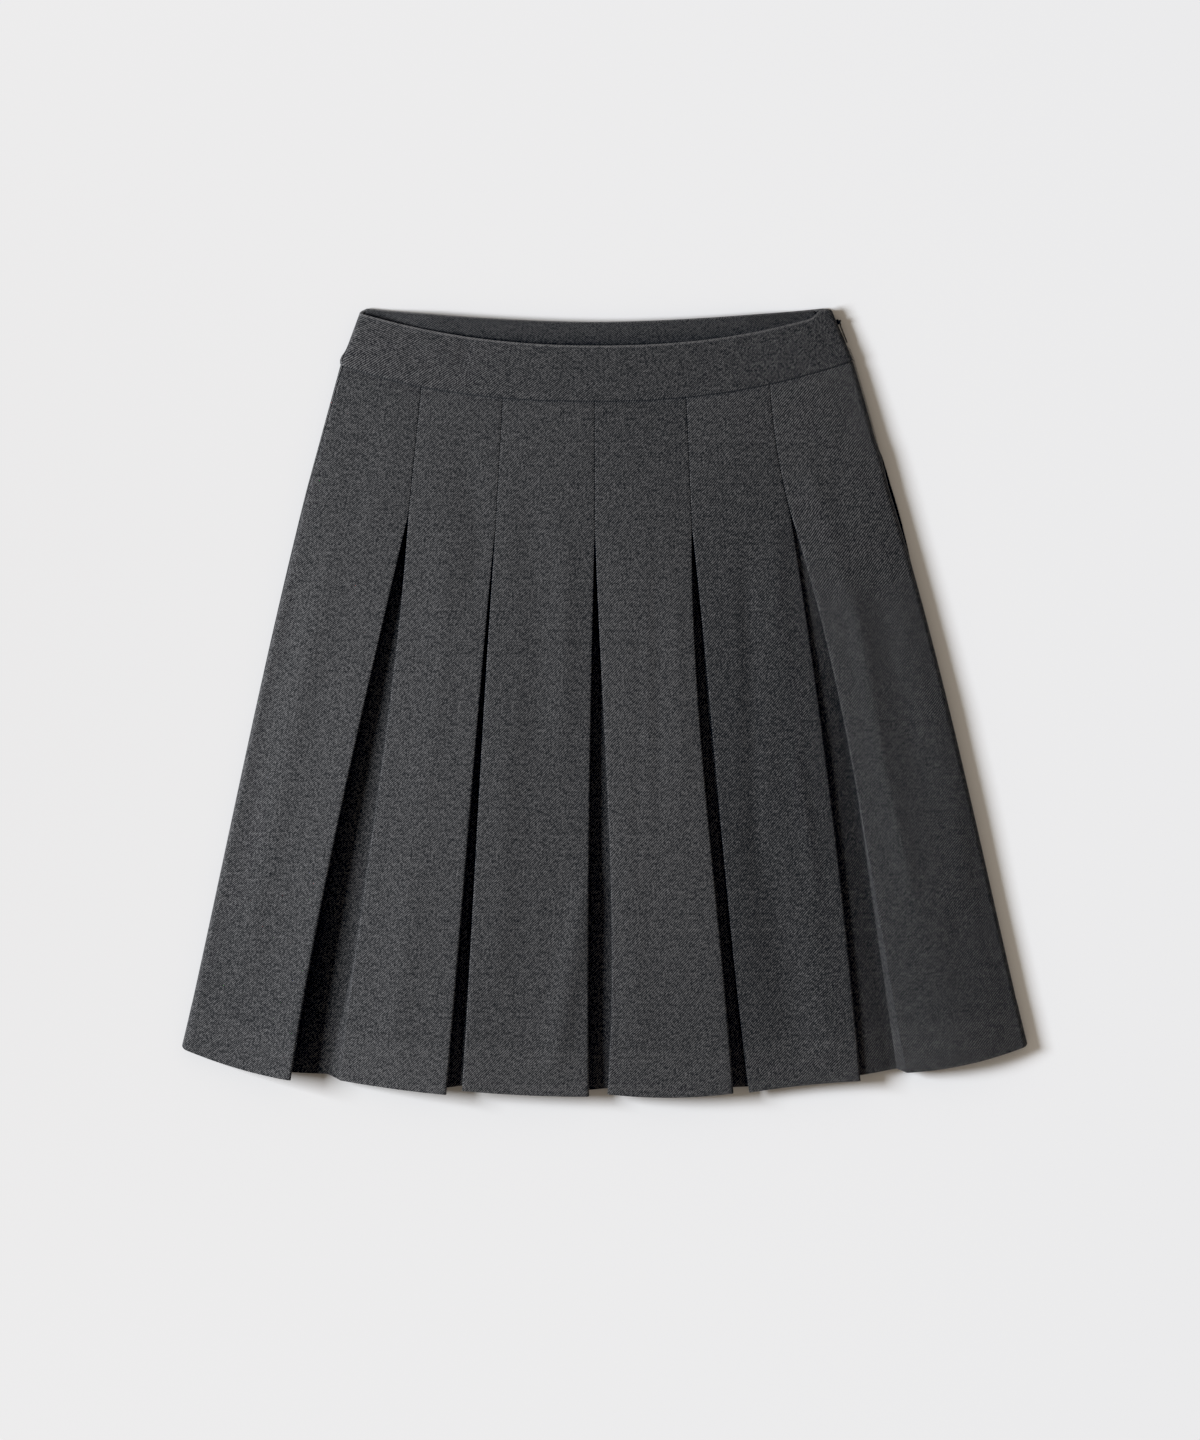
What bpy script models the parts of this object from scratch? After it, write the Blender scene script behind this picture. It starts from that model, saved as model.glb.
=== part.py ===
"""Knee-length pleated skirt, laid flat on its back.

Two pleated panels, a shaped two-piece waistband with its back facing, and a concealed zip in the
right-hand side seam. +X runs across the skirt, +Y towards the waist, +Z up from the surface that
the skirt lies on. Sizes are in millimetres, and each mesh is made in metres.
"""

import math
from collections import namedtuple

import bmesh
import bpy
from mathutils import Matrix, Vector

MM = 0.001

# Cloth
CLOTH = 1.0  # wall of one layer of the twill
BAND = 2.4  # wall of the waistband: two layers and the stiffening between them
SEAM_GAP = 0.3  # space between pieces that are sewn together
FACING_GAP = 0.5  # between the back band and its facing

# Levels above the surface, at the middle of each layer
BACK_LEVEL = CLOTH / 2  # the back's panels lie flat on the surface
BACK_RISE = 3.0  # from the back's panels up to the cloth behind its pleats
UNDER_LEVEL = 5.1  # the cloth behind the front's pleats, lying on the back
GROWTH = 0.7  # below 1, the pleats stand up sooner below the yoke
WAIST_LEVEL = 8.9  # the front's panels at the waist seam
RELEASE_LEVEL = 10.4  # and where the pleats are let go
SIDE_MIDDLE = 4.5  # height of the widest line of the rounded sides
SIDE_DEPTH = 6.5  # how far in from the outline a side has rounded over
SIDE_FULLNESS = 0.6  # power on the side's ellipse: 1 is a plain ellipse, less is squarer

# Stations, as shares of the way from the waist seam to the hem
RELEASE, UPPER, LOWER, HEM = STATIONS = (0.186, 0.45, 0.72, 1.0)
ROWS = (0.0, 0.093, RELEASE, 0.235, 0.32, UPPER, 0.58, LOWER, 0.86, HEM)

# A fold or side of the skirt: its x at the waist seam and at each station, its y at the hem, how far
# its cloth turns back under at each station (less than 0 where it only slopes), the radius that it
# turns on at the hem, and its height there.
Fold = namedtuple("Fold", "waist release upper lower hem hem_y tuck_upper tuck_lower tuck_hem radius height")
FRONT_FOLDS = (
    Fold(-136.9, -146.6, -177.8, -207.5, -233.3, -282.0, 28, 31, 33, 1.3, 26.0),
    Fold(-136.9, -146.6, -160.1, -179.3, -198.4, -283.5, 16, 4, -10, 1.2, 9.0),
    Fold(-76.1, -81.4, -93.8, -105.4, -117.8, -293.2, 28, 31, 33, 1.2, 20.5),
    Fold(-76.1, -81.4, -90.1, -97.9, -106.1, -290.8, 28, 31, 33, 1.2, 16.0),
    Fold(-7.5, -7.1, -10.1, -11.6, -11.6, -295.0, 28, 31, 33, 1.2, 17.0),
    Fold(-7.5, -7.1, -0.8, 4.9, 2.3, -293.6, 27, 24, 18, 1.0, 13.0),
    Fold(61.1, 65.3, 70.5, 83.3, 96.0, -292.5, 28, 31, 33, 1.2, 17.5),
    Fold(61.1, 65.3, 79.1, 91.9, 108.0, -292.5, 28, 31, 33, 1.2, 11.0),
    Fold(123.8, 138.8, 159.2, 176.6, 190.9, -283.5, 28, 31, 33, 1.2, 15.5),
    Fold(123.8, 138.8, 174.5, 200.0, 225.0, -278.0, 3, -4, -8, 3.0, 9.5),
)
FRONT_LEFT = Fold(-197.6, -223.4, -255.1, -285.0, -316.1, -259.5, 0, 0, 0, 0, 10.5)
FRONT_RIGHT = Fold(187.1, 213.0, 250.7, 283.5, 316.4, -258.0, 0, 0, 0, 0, 9.0)

# The front's panels, left to right: height of the middle at the hem, and how far the hem sags there
Panel = namedtuple("Panel", "height sag")
FRONT_PANELS = (
    Panel(15.5, 3.0),
    Panel(15.0, 0.8),
    Panel(16.0, 1.1),
    Panel(15.5, 2.8),
    Panel(12.0, -1.0),
    Panel(13.0, 3.4),
)

TUCK_WAIST, TUCK_RELEASE, TUCK_HEM = 22.0, 25.0, 33.0
TIGHT_RADIUS = 0.75  # of a pressed fold
UNDER_LIFT = 4.0  # the hem behind a pleat ends this much higher
UNDER_BULGES = (0.0, 0.35, 0.08, 0.18, 0.62)  # the cloth there bulges up by this share of the pleat's height
YOKE_BOW = {123.8: -2.5, 187.1: 0.8}  # seams that bow above the release point, by their x at the waist

# The back's pleats are pressed shut: half of each one's x at the waist, the release point and the hem
BACK_CENTRES = ((-137.0, -147.0, -218.0), (-77.0, -82.0, -112.0), (0.0, 0.0, 0.0),
                (77.0, 82.0, 112.0), (137.0, 147.0, 218.0))
BACK_OPENING = 3.0  # between the two folds of a back pleat at the hem
BACK_HEM_Y = -284.0  # at the centre; it rises to the front's hem at the sides

# Edges that dip in the middle: x and y at the left end, y at the centre, x and y at the right end, and
# the power that each half rises by
Dip = namedtuple("Dip", "left_x left centre right_x right left_power right_power")
FRONT_SEAM = Dip(-197.5, 250.0, 224.0, 187.4, 255.0, 2.4, 2.2)
BACK_SEAM = Dip(-197.5, 250.0, 246.0, 187.4, 255.0, 2.0, 2.0)
FRONT_TOP = Dip(-183.2, 290.0, 265.6, 171.5, 291.0, 2.15, 2.25)
BACK_TOP = Dip(-183.2, 294.8, 283.6, 171.5, 295.0, 1.8, 1.7)
BAND_SEAM_LEVEL, BAND_EDGE_LEVEL = 9.6, 8.4  # the front band's outer face at its seam and its top edge
BAND_CROWN = 0.8  # how much higher the band is in the middle than near its ends
BACK_CURL, CURL_FROM, CURL_SPAN = 4.5, 15.0, 50.0  # the back's top edge curls up, away from its ends

# The side seams lie this many degrees round the sides, up from the widest line. The left one is highest
# at the waist seam. It turns down over a share of the way to the hem, and of the way up the band.
LEFT_TURN, LEFT_TURN_HEM, LEFT_TURN_SPAN = 55.0, 10.0, 0.6
BAND_TURN, BAND_TURN_FROM, BAND_TURN_SPAN = -5.0, 0.06, 0.3
RIGHT_TURN = 0.0
SIDE_GAP, BAND_GAP = 0.4, 0.9  # between the front and the back there, on the skirt and on the band
NEAR_SEAM = 4.0  # degrees from a seam to the next point round the side
ZIP_GAP = 2.0  # height of the open seam that the zip closes
ZIP_END = 0.27  # station where the zip stops
PEEK = 2.2  # the back stands out this far past the front, beside the zip
PEEK_STATION, PEEK_SPAN = 0.205, 0.085
ZIP_SHOW, ZIP_SHOW_FROM, ZIP_SHOW_TO = 1.1, 0.105, 0.14  # above this, the cloth beside the zip stands in

# Zip
TAPE = 0.8
TAPE_REACH = 13.0  # how far in from the outline each half of the tape reaches
TAPE_INSET = BAND + 1.1 + TAPE / 2
SLIDER_SHARE = 0.72  # of the way up the band
SLIDER_OUT = 0.15  # from the cloth's outer face to the slider's plate
NECK_TALL, NECK_LONG, NECK_DEEP = 0.8, 4.0, 2.0
PLATE_TALL, PLATE_THICK = 4.0, 0.4
CHEEK_THICK, CHEEK_LONG = 0.5, 1.6
PIN_RADIUS, PIN_OUT = 0.3, 1.5  # the pin's distance out from the cloth
RING_INNER, RING_OUTER, RING_TALL = 0.5, 0.85, 2.2
PULL_LONG, PULL_WIDE, PULL_THICK = 17.0, 3.4, 0.6
STEM_IN, TONGUE_IN = 0.5, 1.0  # the stem and the tongue lie this far nearer the cloth than the pin


def through(stations, values, share):
    """The polynomial through the values at the stations, read at a share of the way down."""
    total = 0.0
    for i, value in enumerate(values):
        weight = 1.0
        for j, station in enumerate(stations):
            if j != i:
                weight *= (share - station) / (stations[i] - station)
        total += weight * value
    return total


def mix(a, b, share):
    return a + (b - a) * share


def spread(start, end, count):
    """count values from start to end, both included."""
    return [mix(start, end, i / (count - 1)) for i in range(count)]


def dipped(edge, x):
    """y on a dipping edge at x."""
    from_centre = 2 * (x - edge.left_x) / (edge.right_x - edge.left_x) - 1
    power = edge.left_power if from_centre < 0 else edge.right_power
    end = edge.left if from_centre < 0 else edge.right
    return edge.centre + (end - edge.centre) * abs(from_centre) ** power


def fold_x(fold, share):
    """Where a fold runs. Above the release point it is a seam, nearly straight."""
    if share >= RELEASE:
        return through(STATIONS, (fold.release, fold.upper, fold.lower, fold.hem), share)
    down = share / RELEASE
    return mix(fold.waist, fold.release, down) + YOKE_BOW.get(fold.waist, 0.0) * 4 * down * (1 - down)


def fold_tuck(fold, share):
    """How far the cloth turns back under at a fold."""
    if share >= RELEASE:
        return through(STATIONS, (TUCK_RELEASE, fold.tuck_upper, fold.tuck_lower, fold.tuck_hem), share)
    return mix(TUCK_WAIST, TUCK_RELEASE, share / RELEASE)


def ease(share):
    """0 to 1, with a soft start and end."""
    share = min(1.0, max(0.0, share))
    return share * share * (3 - 2 * share)


def height(at_waist, at_release, at_hem, share):
    """A height that grows down the skirt from one named level to the next."""
    if share < RELEASE:
        return mix(at_waist, at_release, share / RELEASE)
    return mix(at_release, at_hem, ((share - RELEASE) / (HEM - RELEASE)) ** GROWTH)


def fold_profile(rise, tuck, radius, steps=4):
    """Cloth that leaves one level to the right, turns twice and ends rise higher, tuck further left.

    Two equal arcs and the straight between them. The arcs' angle solves
    (rise - 2 radius) cos + tuck sin + 2 radius = 0.
    """
    radius = min(radius, rise / 4)
    level, back = rise - 2 * radius, tuck
    turn = math.atan2(back, level) + math.acos(-2 * radius / math.hypot(level, back))
    first = [(radius * math.sin(a), radius - radius * math.cos(a)) for a in spread(0, turn, steps)]
    last = [(-tuck - radius * math.sin(a), rise - radius + radius * math.cos(a))
            for a in spread(turn, 0, steps)]
    return first + last


def side_turn(side_x, inward, top, angles, inset):
    """Points (x, z) round a side. 0 degrees is its widest line, 90 its top and -90 its underside."""
    points = []
    for angle in map(math.radians, angles):
        tall = top - SIDE_MIDDLE if angle > 0 else SIDE_MIDDLE
        out = max(0.0, math.cos(angle)) ** SIDE_FULLNESS
        x = side_x + inward * (SIDE_DEPTH - (SIDE_DEPTH - inset) * out)
        points.append((x, SIDE_MIDDLE + (tall - inset) * math.sin(angle)))
    return points


def left_turn(share):
    """Degrees round the left side at which its seam runs."""
    return mix(LEFT_TURN, LEFT_TURN_HEM, ease(share / LEFT_TURN_SPAN))


def band_turn(share):
    """Degrees round the left side at which the waistband's seam runs."""
    return mix(LEFT_TURN, BAND_TURN, ease((share - BAND_TURN_FROM) / BAND_TURN_SPAN))


def zip_inset(share):
    """How far the cloth beside the zip stands in from the outline."""
    return ZIP_SHOW * (1 - ease((share - ZIP_SHOW_FROM) / (ZIP_SHOW_TO - ZIP_SHOW_FROM)))


def gap_angle(gap, wall):
    """Degrees round the side that half a gap takes, for a wall lying inside the outline."""
    return math.degrees(math.asin(gap / 2 / (SIDE_MIDDLE - wall / 2)))


def zip_gap(share):
    """Height of the right-hand seam's gap at a station."""
    return ZIP_GAP if share <= ZIP_END else SIDE_GAP


def level_y(folds, panels, seam, share, x):
    """y of the line across a pleated piece at a station. It follows the seam above and the hem below."""
    xs = [fold_x(fold, share) for fold in folds]
    i = max(0, min(len(xs) - 2, sum(1 for edge in xs if edge <= x) - 1))
    across = min(1.0, max(0.0, (x - xs[i]) / max(xs[i + 1] - xs[i], 1e-6)))
    ends = folds[i], folds[i + 1]
    waist_x = mix(ends[0].waist, ends[1].waist, across)
    sag = panels[i // 2].sag * 4 * across * (1 - across) if i % 2 == 0 else 0.0
    hem_y = mix(ends[0].hem_y, ends[1].hem_y, across) - sag
    return mix(dipped(seam, waist_x) - SEAM_GAP / 2, hem_y, share)


def front_panel(number, share, left_x, right_x, left_z, right_z, count=5):
    """The inner points of a front panel, crowned between its two edges."""
    middle = height(WAIST_LEVEL + 0.4, RELEASE_LEVEL + 0.8, FRONT_PANELS[number].height, share)
    points = []
    for across in spread(0, 1, count)[1:-1]:
        z = through((0, 0.5, 1), (left_z, middle, right_z), across)
        points.append((mix(left_x, right_x, across), z))
    return points


def front_section(share):
    """Points (x, y, z) across the front at a station, from the left side seam to the right one."""
    edges = (FRONT_LEFT, *FRONT_FOLDS, FRONT_RIGHT)
    tops = [height(WAIST_LEVEL, RELEASE_LEVEL, fold.height, share) for fold in edges]
    left_x, right_x = fold_x(FRONT_LEFT, share), fold_x(FRONT_RIGHT, share) - zip_inset(share)
    start = left_turn(share) + gap_angle(SIDE_GAP, CLOTH)
    angles = (start, start + NEAR_SEAM, *spread(start, 90, 5)[2:])
    flat = side_turn(left_x, 1, tops[0] + CLOTH / 2, angles, CLOTH / 2)
    lift = [0.0] * len(flat)
    for number in range(6):
        if number:
            fold, top = FRONT_FOLDS[2 * number - 1], tops[2 * number]
            radius = height(TIGHT_RADIUS, TIGHT_RADIUS, fold.radius, share)
            rise, tuck = top - UNDER_LEVEL, fold_tuck(fold, share)
            radius = min(radius, rise / 4)
            start_x = fold_x(fold, share) + SEAM_GAP / 2 + radius + CLOTH / 2
            profile = [(start_x + tuck + across, up) for across, up in fold_profile(rise, tuck, radius)]
            bulge = UNDER_BULGES[number - 1] * (tops[2 * number - 1] - UNDER_LEVEL)
            start_under = flat[-1][0]
            for across in spread(0, 1, 5)[1:-1]:
                z = UNDER_LEVEL + bulge * math.sin(math.pi * across)
                flat.append((mix(start_under, profile[0][0], across), z))
                lift.append(1.0)
            for x, up in profile:
                flat.append((x, UNDER_LEVEL + up))
                lift.append(1 - up / rise)
        panel_start = flat[-1]
        if number < 5:
            fold, top = FRONT_FOLDS[2 * number], tops[2 * number + 1]
            rise, tuck = top - UNDER_LEVEL, fold_tuck(fold, share)
            radius = min(height(TIGHT_RADIUS, TIGHT_RADIUS, fold.radius, share), rise / 4)
            end_x = fold_x(fold, share) - SEAM_GAP / 2 - radius - CLOTH / 2
            inner = front_panel(number, share, panel_start[0], end_x, panel_start[1], top)
            turned = [(end_x - tuck - across, UNDER_LEVEL + up)
                      for across, up in reversed(fold_profile(rise, tuck, radius))]
            flat += inner + turned
            lift += [0.0] * len(inner) + [1 - (z - UNDER_LEVEL) / rise for _, z in turned]
        else:
            end = RIGHT_TURN + gap_angle(zip_gap(share), CLOTH)
            side = side_turn(right_x, -1, tops[-1] + CLOTH / 2, (90, 65, 40, end + NEAR_SEAM, end), CLOTH / 2)
            inner = front_panel(number, share, panel_start[0], side[0][0], panel_start[1], side[0][1])
            flat += inner + side
            lift += [0.0] * (len(inner) + len(side))
    return [Vector((x, level_y(edges, FRONT_PANELS, FRONT_SEAM, share, x) + UNDER_LIFT * up * share, z))
            for (x, z), up in zip(flat, lift)]


def back_edges():
    """The back's sides and folds, in the same form as the front's."""
    side_left = FRONT_LEFT
    side_right = FRONT_RIGHT
    edges = [side_left]
    for waist, release, hem in BACK_CENTRES:
        rise = (side_left.hem_y - BACK_HEM_Y) * (hem / side_left.hem) ** 2
        for side in (-1, 1):
            reach = [mix(release, hem, (s - RELEASE) / (HEM - RELEASE)) for s in STATIONS]
            opened = [side * BACK_OPENING / 2 * (s - RELEASE) / (HEM - RELEASE) for s in STATIONS]
            xs = [x + gap for x, gap in zip(reach, opened)]
            edges.append(Fold(waist, *xs, BACK_HEM_Y + rise, 28, 31, TUCK_HEM, TIGHT_RADIUS, 0.0))
    return (*edges, side_right)


def peek(share):
    """How far the back stands out past the front on the right."""
    return PEEK * max(0.0, 1 - ((share - PEEK_STATION) / PEEK_SPAN) ** 2)


def back_panel(left_x, right_x):
    """The inner points of a back panel, flat on the surface."""
    return [(x, BACK_LEVEL) for x in spread(left_x, right_x, 4)[1:-1]]


def back_section(share):
    """Points (x, y, z) across the back at a station, outer face down."""
    edges = back_edges()
    left_x = fold_x(FRONT_LEFT, share)
    right_x = fold_x(FRONT_RIGHT, share) + peek(share) - zip_inset(share)
    side_top = height(WAIST_LEVEL, RELEASE_LEVEL, FRONT_LEFT.height, share) + CLOTH / 2
    end = left_turn(share) - gap_angle(SIDE_GAP, CLOTH)
    flat = side_turn(left_x, 1, side_top, (end, end - NEAR_SEAM, *spread(end, -90, 7)[2:]), CLOTH / 2)
    lift = [0.0] * len(flat)
    reach = TIGHT_RADIUS + CLOTH / 2 + SEAM_GAP / 2
    for left, right in zip(edges[1:-1:2], edges[2:-1:2]):
        tuck = fold_tuck(left, share)
        profile = fold_profile(BACK_RISE, tuck, TIGHT_RADIUS, 3)
        into = [(fold_x(left, share) - reach - tuck - x, up) for x, up in reversed(profile)]
        out = [(fold_x(right, share) + reach + tuck + x, up) for x, up in profile]
        inner = back_panel(flat[-1][0], into[0][0])
        flat += inner + [(x, BACK_LEVEL + BACK_RISE - up) for x, up in into + out]
        lift += [0.0] * len(inner) + [1 - up / BACK_RISE for _, up in into + out]
    end = RIGHT_TURN - gap_angle(zip_gap(share), CLOTH)
    right = side_turn(right_x, -1, side_top, (-90, -55, -25, end - NEAR_SEAM, end), CLOTH / 2)
    inner = back_panel(flat[-1][0], right[0][0])
    flat += inner + right
    lift += [0.0] * (len(inner) + len(right))
    plain = [Panel(0.0, 0.0)] * 6
    return [Vector((x, level_y(edges, plain, BACK_SEAM, share, x) + UNDER_LIFT * up * share, z))
            for (x, z), up in zip(flat, lift)]


def band_ends(share):
    """x of the waistband's two ends, a share of the way from the waist seam up to its top edge."""
    return mix(FRONT_SEAM.left_x, FRONT_TOP.left_x, share), mix(FRONT_SEAM.right_x, FRONT_TOP.right_x, share)


def band_level(share):
    """Height of the front band's outer face near its ends."""
    return mix(BAND_SEAM_LEVEL, BAND_EDGE_LEVEL, share)


def band_points(flat, seam, top, share):
    """Points of a waistband row, a share of the way from the waist seam up to the band's own edge."""
    left_x, right_x = band_ends(share)
    made = []
    for x, z in flat:
        across = (x - left_x) / (right_x - left_x)
        low = dipped(seam, mix(seam.left_x, seam.right_x, across)) + SEAM_GAP / 2
        high = dipped(top, mix(top.left_x, top.right_x, across))
        made.append(Vector((x, mix(low, high, share), z)))
    return made


def front_band_section(share):
    """One row of the front waistband, from the left side seam over to the zip."""
    left_x, right_x = band_ends(share)
    level = band_level(share)
    start = band_turn(share) + gap_angle(BAND_GAP, BAND)
    left = side_turn(left_x, 1, level, (start, start + NEAR_SEAM, *spread(start, 90, 6)[2:]), BAND / 2)
    end = RIGHT_TURN + gap_angle(ZIP_GAP, BAND)
    right = side_turn(right_x - ZIP_SHOW, -1, level, (90, 70, 50, end + NEAR_SEAM, end), BAND / 2)
    inner = []
    for across in spread(0, 1, 17)[1:-1]:
        crown = BAND_CROWN * (1 - (2 * across - 1) ** 2)
        inner.append((mix(left[-1][0], right[0][0], across), level - BAND / 2 + crown))
    return band_points(left + inner + right, FRONT_SEAM, FRONT_TOP, share)


def curl(share, x):
    """How far the back's top edge stands up at x, a share of the way up the band."""
    left_x, right_x = band_ends(share)
    near_end = min(x - left_x, right_x - x) - CURL_FROM
    return BACK_CURL * ease((share - 0.45) / 0.5) * ease(near_end / CURL_SPAN)


def back_band_section(share):
    """One row of the back waistband, lying on the surface."""
    left_x, right_x = band_ends(share)
    level = band_level(share)
    start = band_turn(share) - gap_angle(BAND_GAP, BAND)
    left = side_turn(left_x, 1, level, (start, start - NEAR_SEAM, *spread(start, -90, 7)[2:]), BAND / 2)
    end = RIGHT_TURN - gap_angle(ZIP_GAP, BAND)
    right = side_turn(right_x - ZIP_SHOW, -1, level, (-90, -55, -25, end - NEAR_SEAM, end), BAND / 2)
    inner = [(x, BAND / 2 + curl(share, x)) for x in spread(left[-1][0], right[0][0], 25)[1:-1]]
    return band_points(left + inner + right, BACK_SEAM, BACK_TOP, share)


def facing_section(share):
    """One row of the facing, flat on the back band's inside, from one side to the zip's tape."""
    left_x, right_x = band_ends(share)
    level = BAND + FACING_GAP + CLOTH / 2
    far_x = right_x - ZIP_SHOW - TAPE_REACH - 1.5
    flat = [(x, level + curl(share, x)) for x in spread(left_x + SIDE_DEPTH, far_x, 25)]
    return band_points(flat, BACK_SEAM, BACK_TOP, share)


def zip_rows():
    """Along the zip, from its top down: (x of the side, y, and how high the side is)."""
    rows = []
    for share in (0.96, 0.5, 0.04):
        y = mix(FRONT_SEAM.right, FRONT_TOP.right, share)
        rows.append((band_ends(share)[1] - ZIP_SHOW, y, band_level(share)))
    for share in (0.06, 0.13, 0.2, ZIP_END - 0.01):
        y = mix(FRONT_SEAM.right, FRONT_RIGHT.hem_y, share)
        top = height(WAIST_LEVEL, RELEASE_LEVEL, FRONT_RIGHT.height, share)
        rows.append((fold_x(FRONT_RIGHT, share) - zip_inset(share), y, top))
    return rows


def tape_section(side_x, y, top):
    """A row of the zip's tape: half under the front, round the inside of the seam, half over the back."""
    turn = side_turn(side_x, -1, top, (90, 60, 30, 0, -45, -90), TAPE_INSET)
    inward = side_x - TAPE_REACH
    flat = [(inward, turn[0][1]), *turn, (inward, turn[-1][1])]
    return [Vector((x, y, z)) for x, z in flat]


def material(name, colour, roughness, metallic=0.0):
    made = bpy.data.materials.new(name)
    made.use_nodes = True
    shader = made.node_tree.nodes["Principled BSDF"]
    shader.inputs["Base Color"].default_value = (*colour, 1.0)
    shader.inputs["Roughness"].default_value = roughness
    shader.inputs["Metallic"].default_value = metallic
    return made


def place(obj, collection, finish):
    for old in list(obj.users_collection):
        old.objects.unlink(obj)
    collection.objects.link(obj)
    obj.data.materials.clear()
    obj.data.materials.append(finish)
    return obj


def loft(name, sections, wall, collection, finish):
    """A cloth wall through sections that all have the same number of points.

    The sections differ too much in shape for a Screw or an extrusion, so the faces between
    neighbouring sections are made here, and Solidify gives the sheet its wall.
    """
    sheet = bmesh.new()
    rows = [[sheet.verts.new(point * MM) for point in section] for section in sections]
    for upper, lower in zip(rows, rows[1:]):
        for i in range(len(upper) - 1):
            sheet.faces.new((upper[i], lower[i], lower[i + 1], upper[i + 1]))
    mesh = bpy.data.meshes.new(name)
    sheet.to_mesh(mesh)
    sheet.free()
    obj = bpy.data.objects.new(name, mesh)
    place(obj, collection, finish)
    thicken = obj.modifiers.new("wall", "SOLIDIFY")
    thicken.thickness = wall * MM
    thicken.offset = 0.0
    thicken.use_even_offset = True
    mesh.shade_smooth()
    mesh.set_sharp_from_angle(angle=math.radians(50))
    return obj


def slider_frame():
    """The slider's place: origin on the cloth's outer face in the seam, X out, Y up the zip, Z up."""
    low = Vector((BACK_SEAM.right_x - ZIP_SHOW, BACK_SEAM.right, SIDE_MIDDLE))
    high = Vector((BACK_TOP.right_x - ZIP_SHOW, BACK_TOP.right, SIDE_MIDDLE))
    along = (high - low).normalized()
    out = along.cross(Vector((0, 0, 1)))
    turn = Matrix((out, along, Vector((0, 0, 1)))).transposed().to_4x4()
    return Matrix.Translation(low.lerp(high, SLIDER_SHARE) * MM) @ turn


def block(name, low, high):
    """A box between two corners, in the slider's own millimetres."""
    bpy.ops.mesh.primitive_cube_add(size=1)
    obj = bpy.context.object
    obj.name = name
    size = Vector(high) - Vector(low)
    obj.data.transform(Matrix.Translation((Vector(low) + size / 2) * MM) @ Matrix.Diagonal((*(size * MM), 1)))
    return obj


def rod(name, centre, radius, tall, sides=24):
    """An upright cylinder, in the slider's own millimetres."""
    bpy.ops.mesh.primitive_cylinder_add(vertices=sides, radius=radius * MM, depth=tall * MM)
    obj = bpy.context.object
    obj.name = name
    obj.data.transform(Matrix.Translation(Vector(centre) * MM))
    return obj


def combine(obj, others, operation):
    """Joins others to obj, or cuts them from it, and removes them."""
    for other in others:
        step = obj.modifiers.new(other.name, "BOOLEAN")
        step.operation = operation
        step.object = other
    bpy.context.view_layer.update()
    done = bpy.data.meshes.new_from_object(obj.evaluated_get(bpy.context.evaluated_depsgraph_get()))
    obj.modifiers.clear()
    obj.data = done
    for other in others:
        bpy.data.objects.remove(other)
    return obj


def zip_slider(collection, finish):
    """The slider's neck in the seam, the plate outside it, and the cheeks that hold the pull's pin."""
    plate_out = SLIDER_OUT + PLATE_THICK
    neck = block("zip_slider", (-NECK_DEEP, -NECK_LONG / 2, -NECK_TALL / 2),
                 (SLIDER_OUT + 0.1, NECK_LONG / 2, NECK_TALL / 2))
    plate = block("plate", (SLIDER_OUT, -NECK_LONG / 2, -PLATE_TALL / 2),
                  (plate_out, NECK_LONG / 2, PLATE_TALL / 2))
    pieces = [plate]
    for side in (-1, 1):
        inner, outer = side * (PLATE_TALL / 2 - CHEEK_THICK), side * PLATE_TALL / 2
        low = (plate_out - 0.1, -CHEEK_LONG / 2, min(inner, outer))
        pieces.append(block("cheek", low, (PIN_OUT + PIN_RADIUS + 0.2, CHEEK_LONG / 2, max(inner, outer))))
    pieces.append(rod("pin", (PIN_OUT, 0, 0), PIN_RADIUS, PLATE_TALL - 0.2))
    obj = combine(neck, pieces, "UNION")
    obj.matrix_world = slider_frame()
    return place(obj, collection, finish)


def zip_pull(collection, finish):
    """The pull tab: a ring round the pin and a flat tongue with a round end, hanging down the seam."""
    ring = rod("zip_pull", (0, 0, 0), RING_OUTER, RING_TALL)
    tongue_end = -PULL_LONG + PULL_WIDE / 2
    near, far = -TONGUE_IN - PULL_THICK / 2, -TONGUE_IN + PULL_THICK / 2
    stem_near, stem_far = -STEM_IN - PULL_THICK / 2, -STEM_IN + PULL_THICK / 2
    tongue = block("tongue", (near, tongue_end, -PULL_WIDE / 2), (far, -2.4, PULL_WIDE / 2))
    step = block("step", (near + 0.1, -3.1, 0.1 - RING_TALL / 2), (stem_far - 0.1, -2.5, RING_TALL / 2 - 0.1))
    stem = block("stem", (stem_near, -3.0, -RING_TALL / 2), (stem_far, -RING_INNER, RING_TALL / 2))
    tip = rod("tip", (0, 0, 0), PULL_WIDE / 2, PULL_THICK)
    tip.data.transform(Matrix.Translation((-TONGUE_IN * MM, tongue_end * MM, 0))
                       @ Matrix.Rotation(math.pi / 2, 4, "Y"))
    combine(ring, [tongue, step, stem, tip], "UNION")
    combine(ring, [rod("bore", (0, 0, 0), RING_INNER, RING_TALL + 2)], "DIFFERENCE")
    hinge = bpy.data.objects.new("zip_pull_hinge", None)
    hinge.matrix_world = slider_frame() @ Matrix.Translation((PIN_OUT * MM, 0, 0))
    collection.objects.link(hinge)
    place(ring, collection, finish)
    ring.parent = hinge
    return ring


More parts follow.
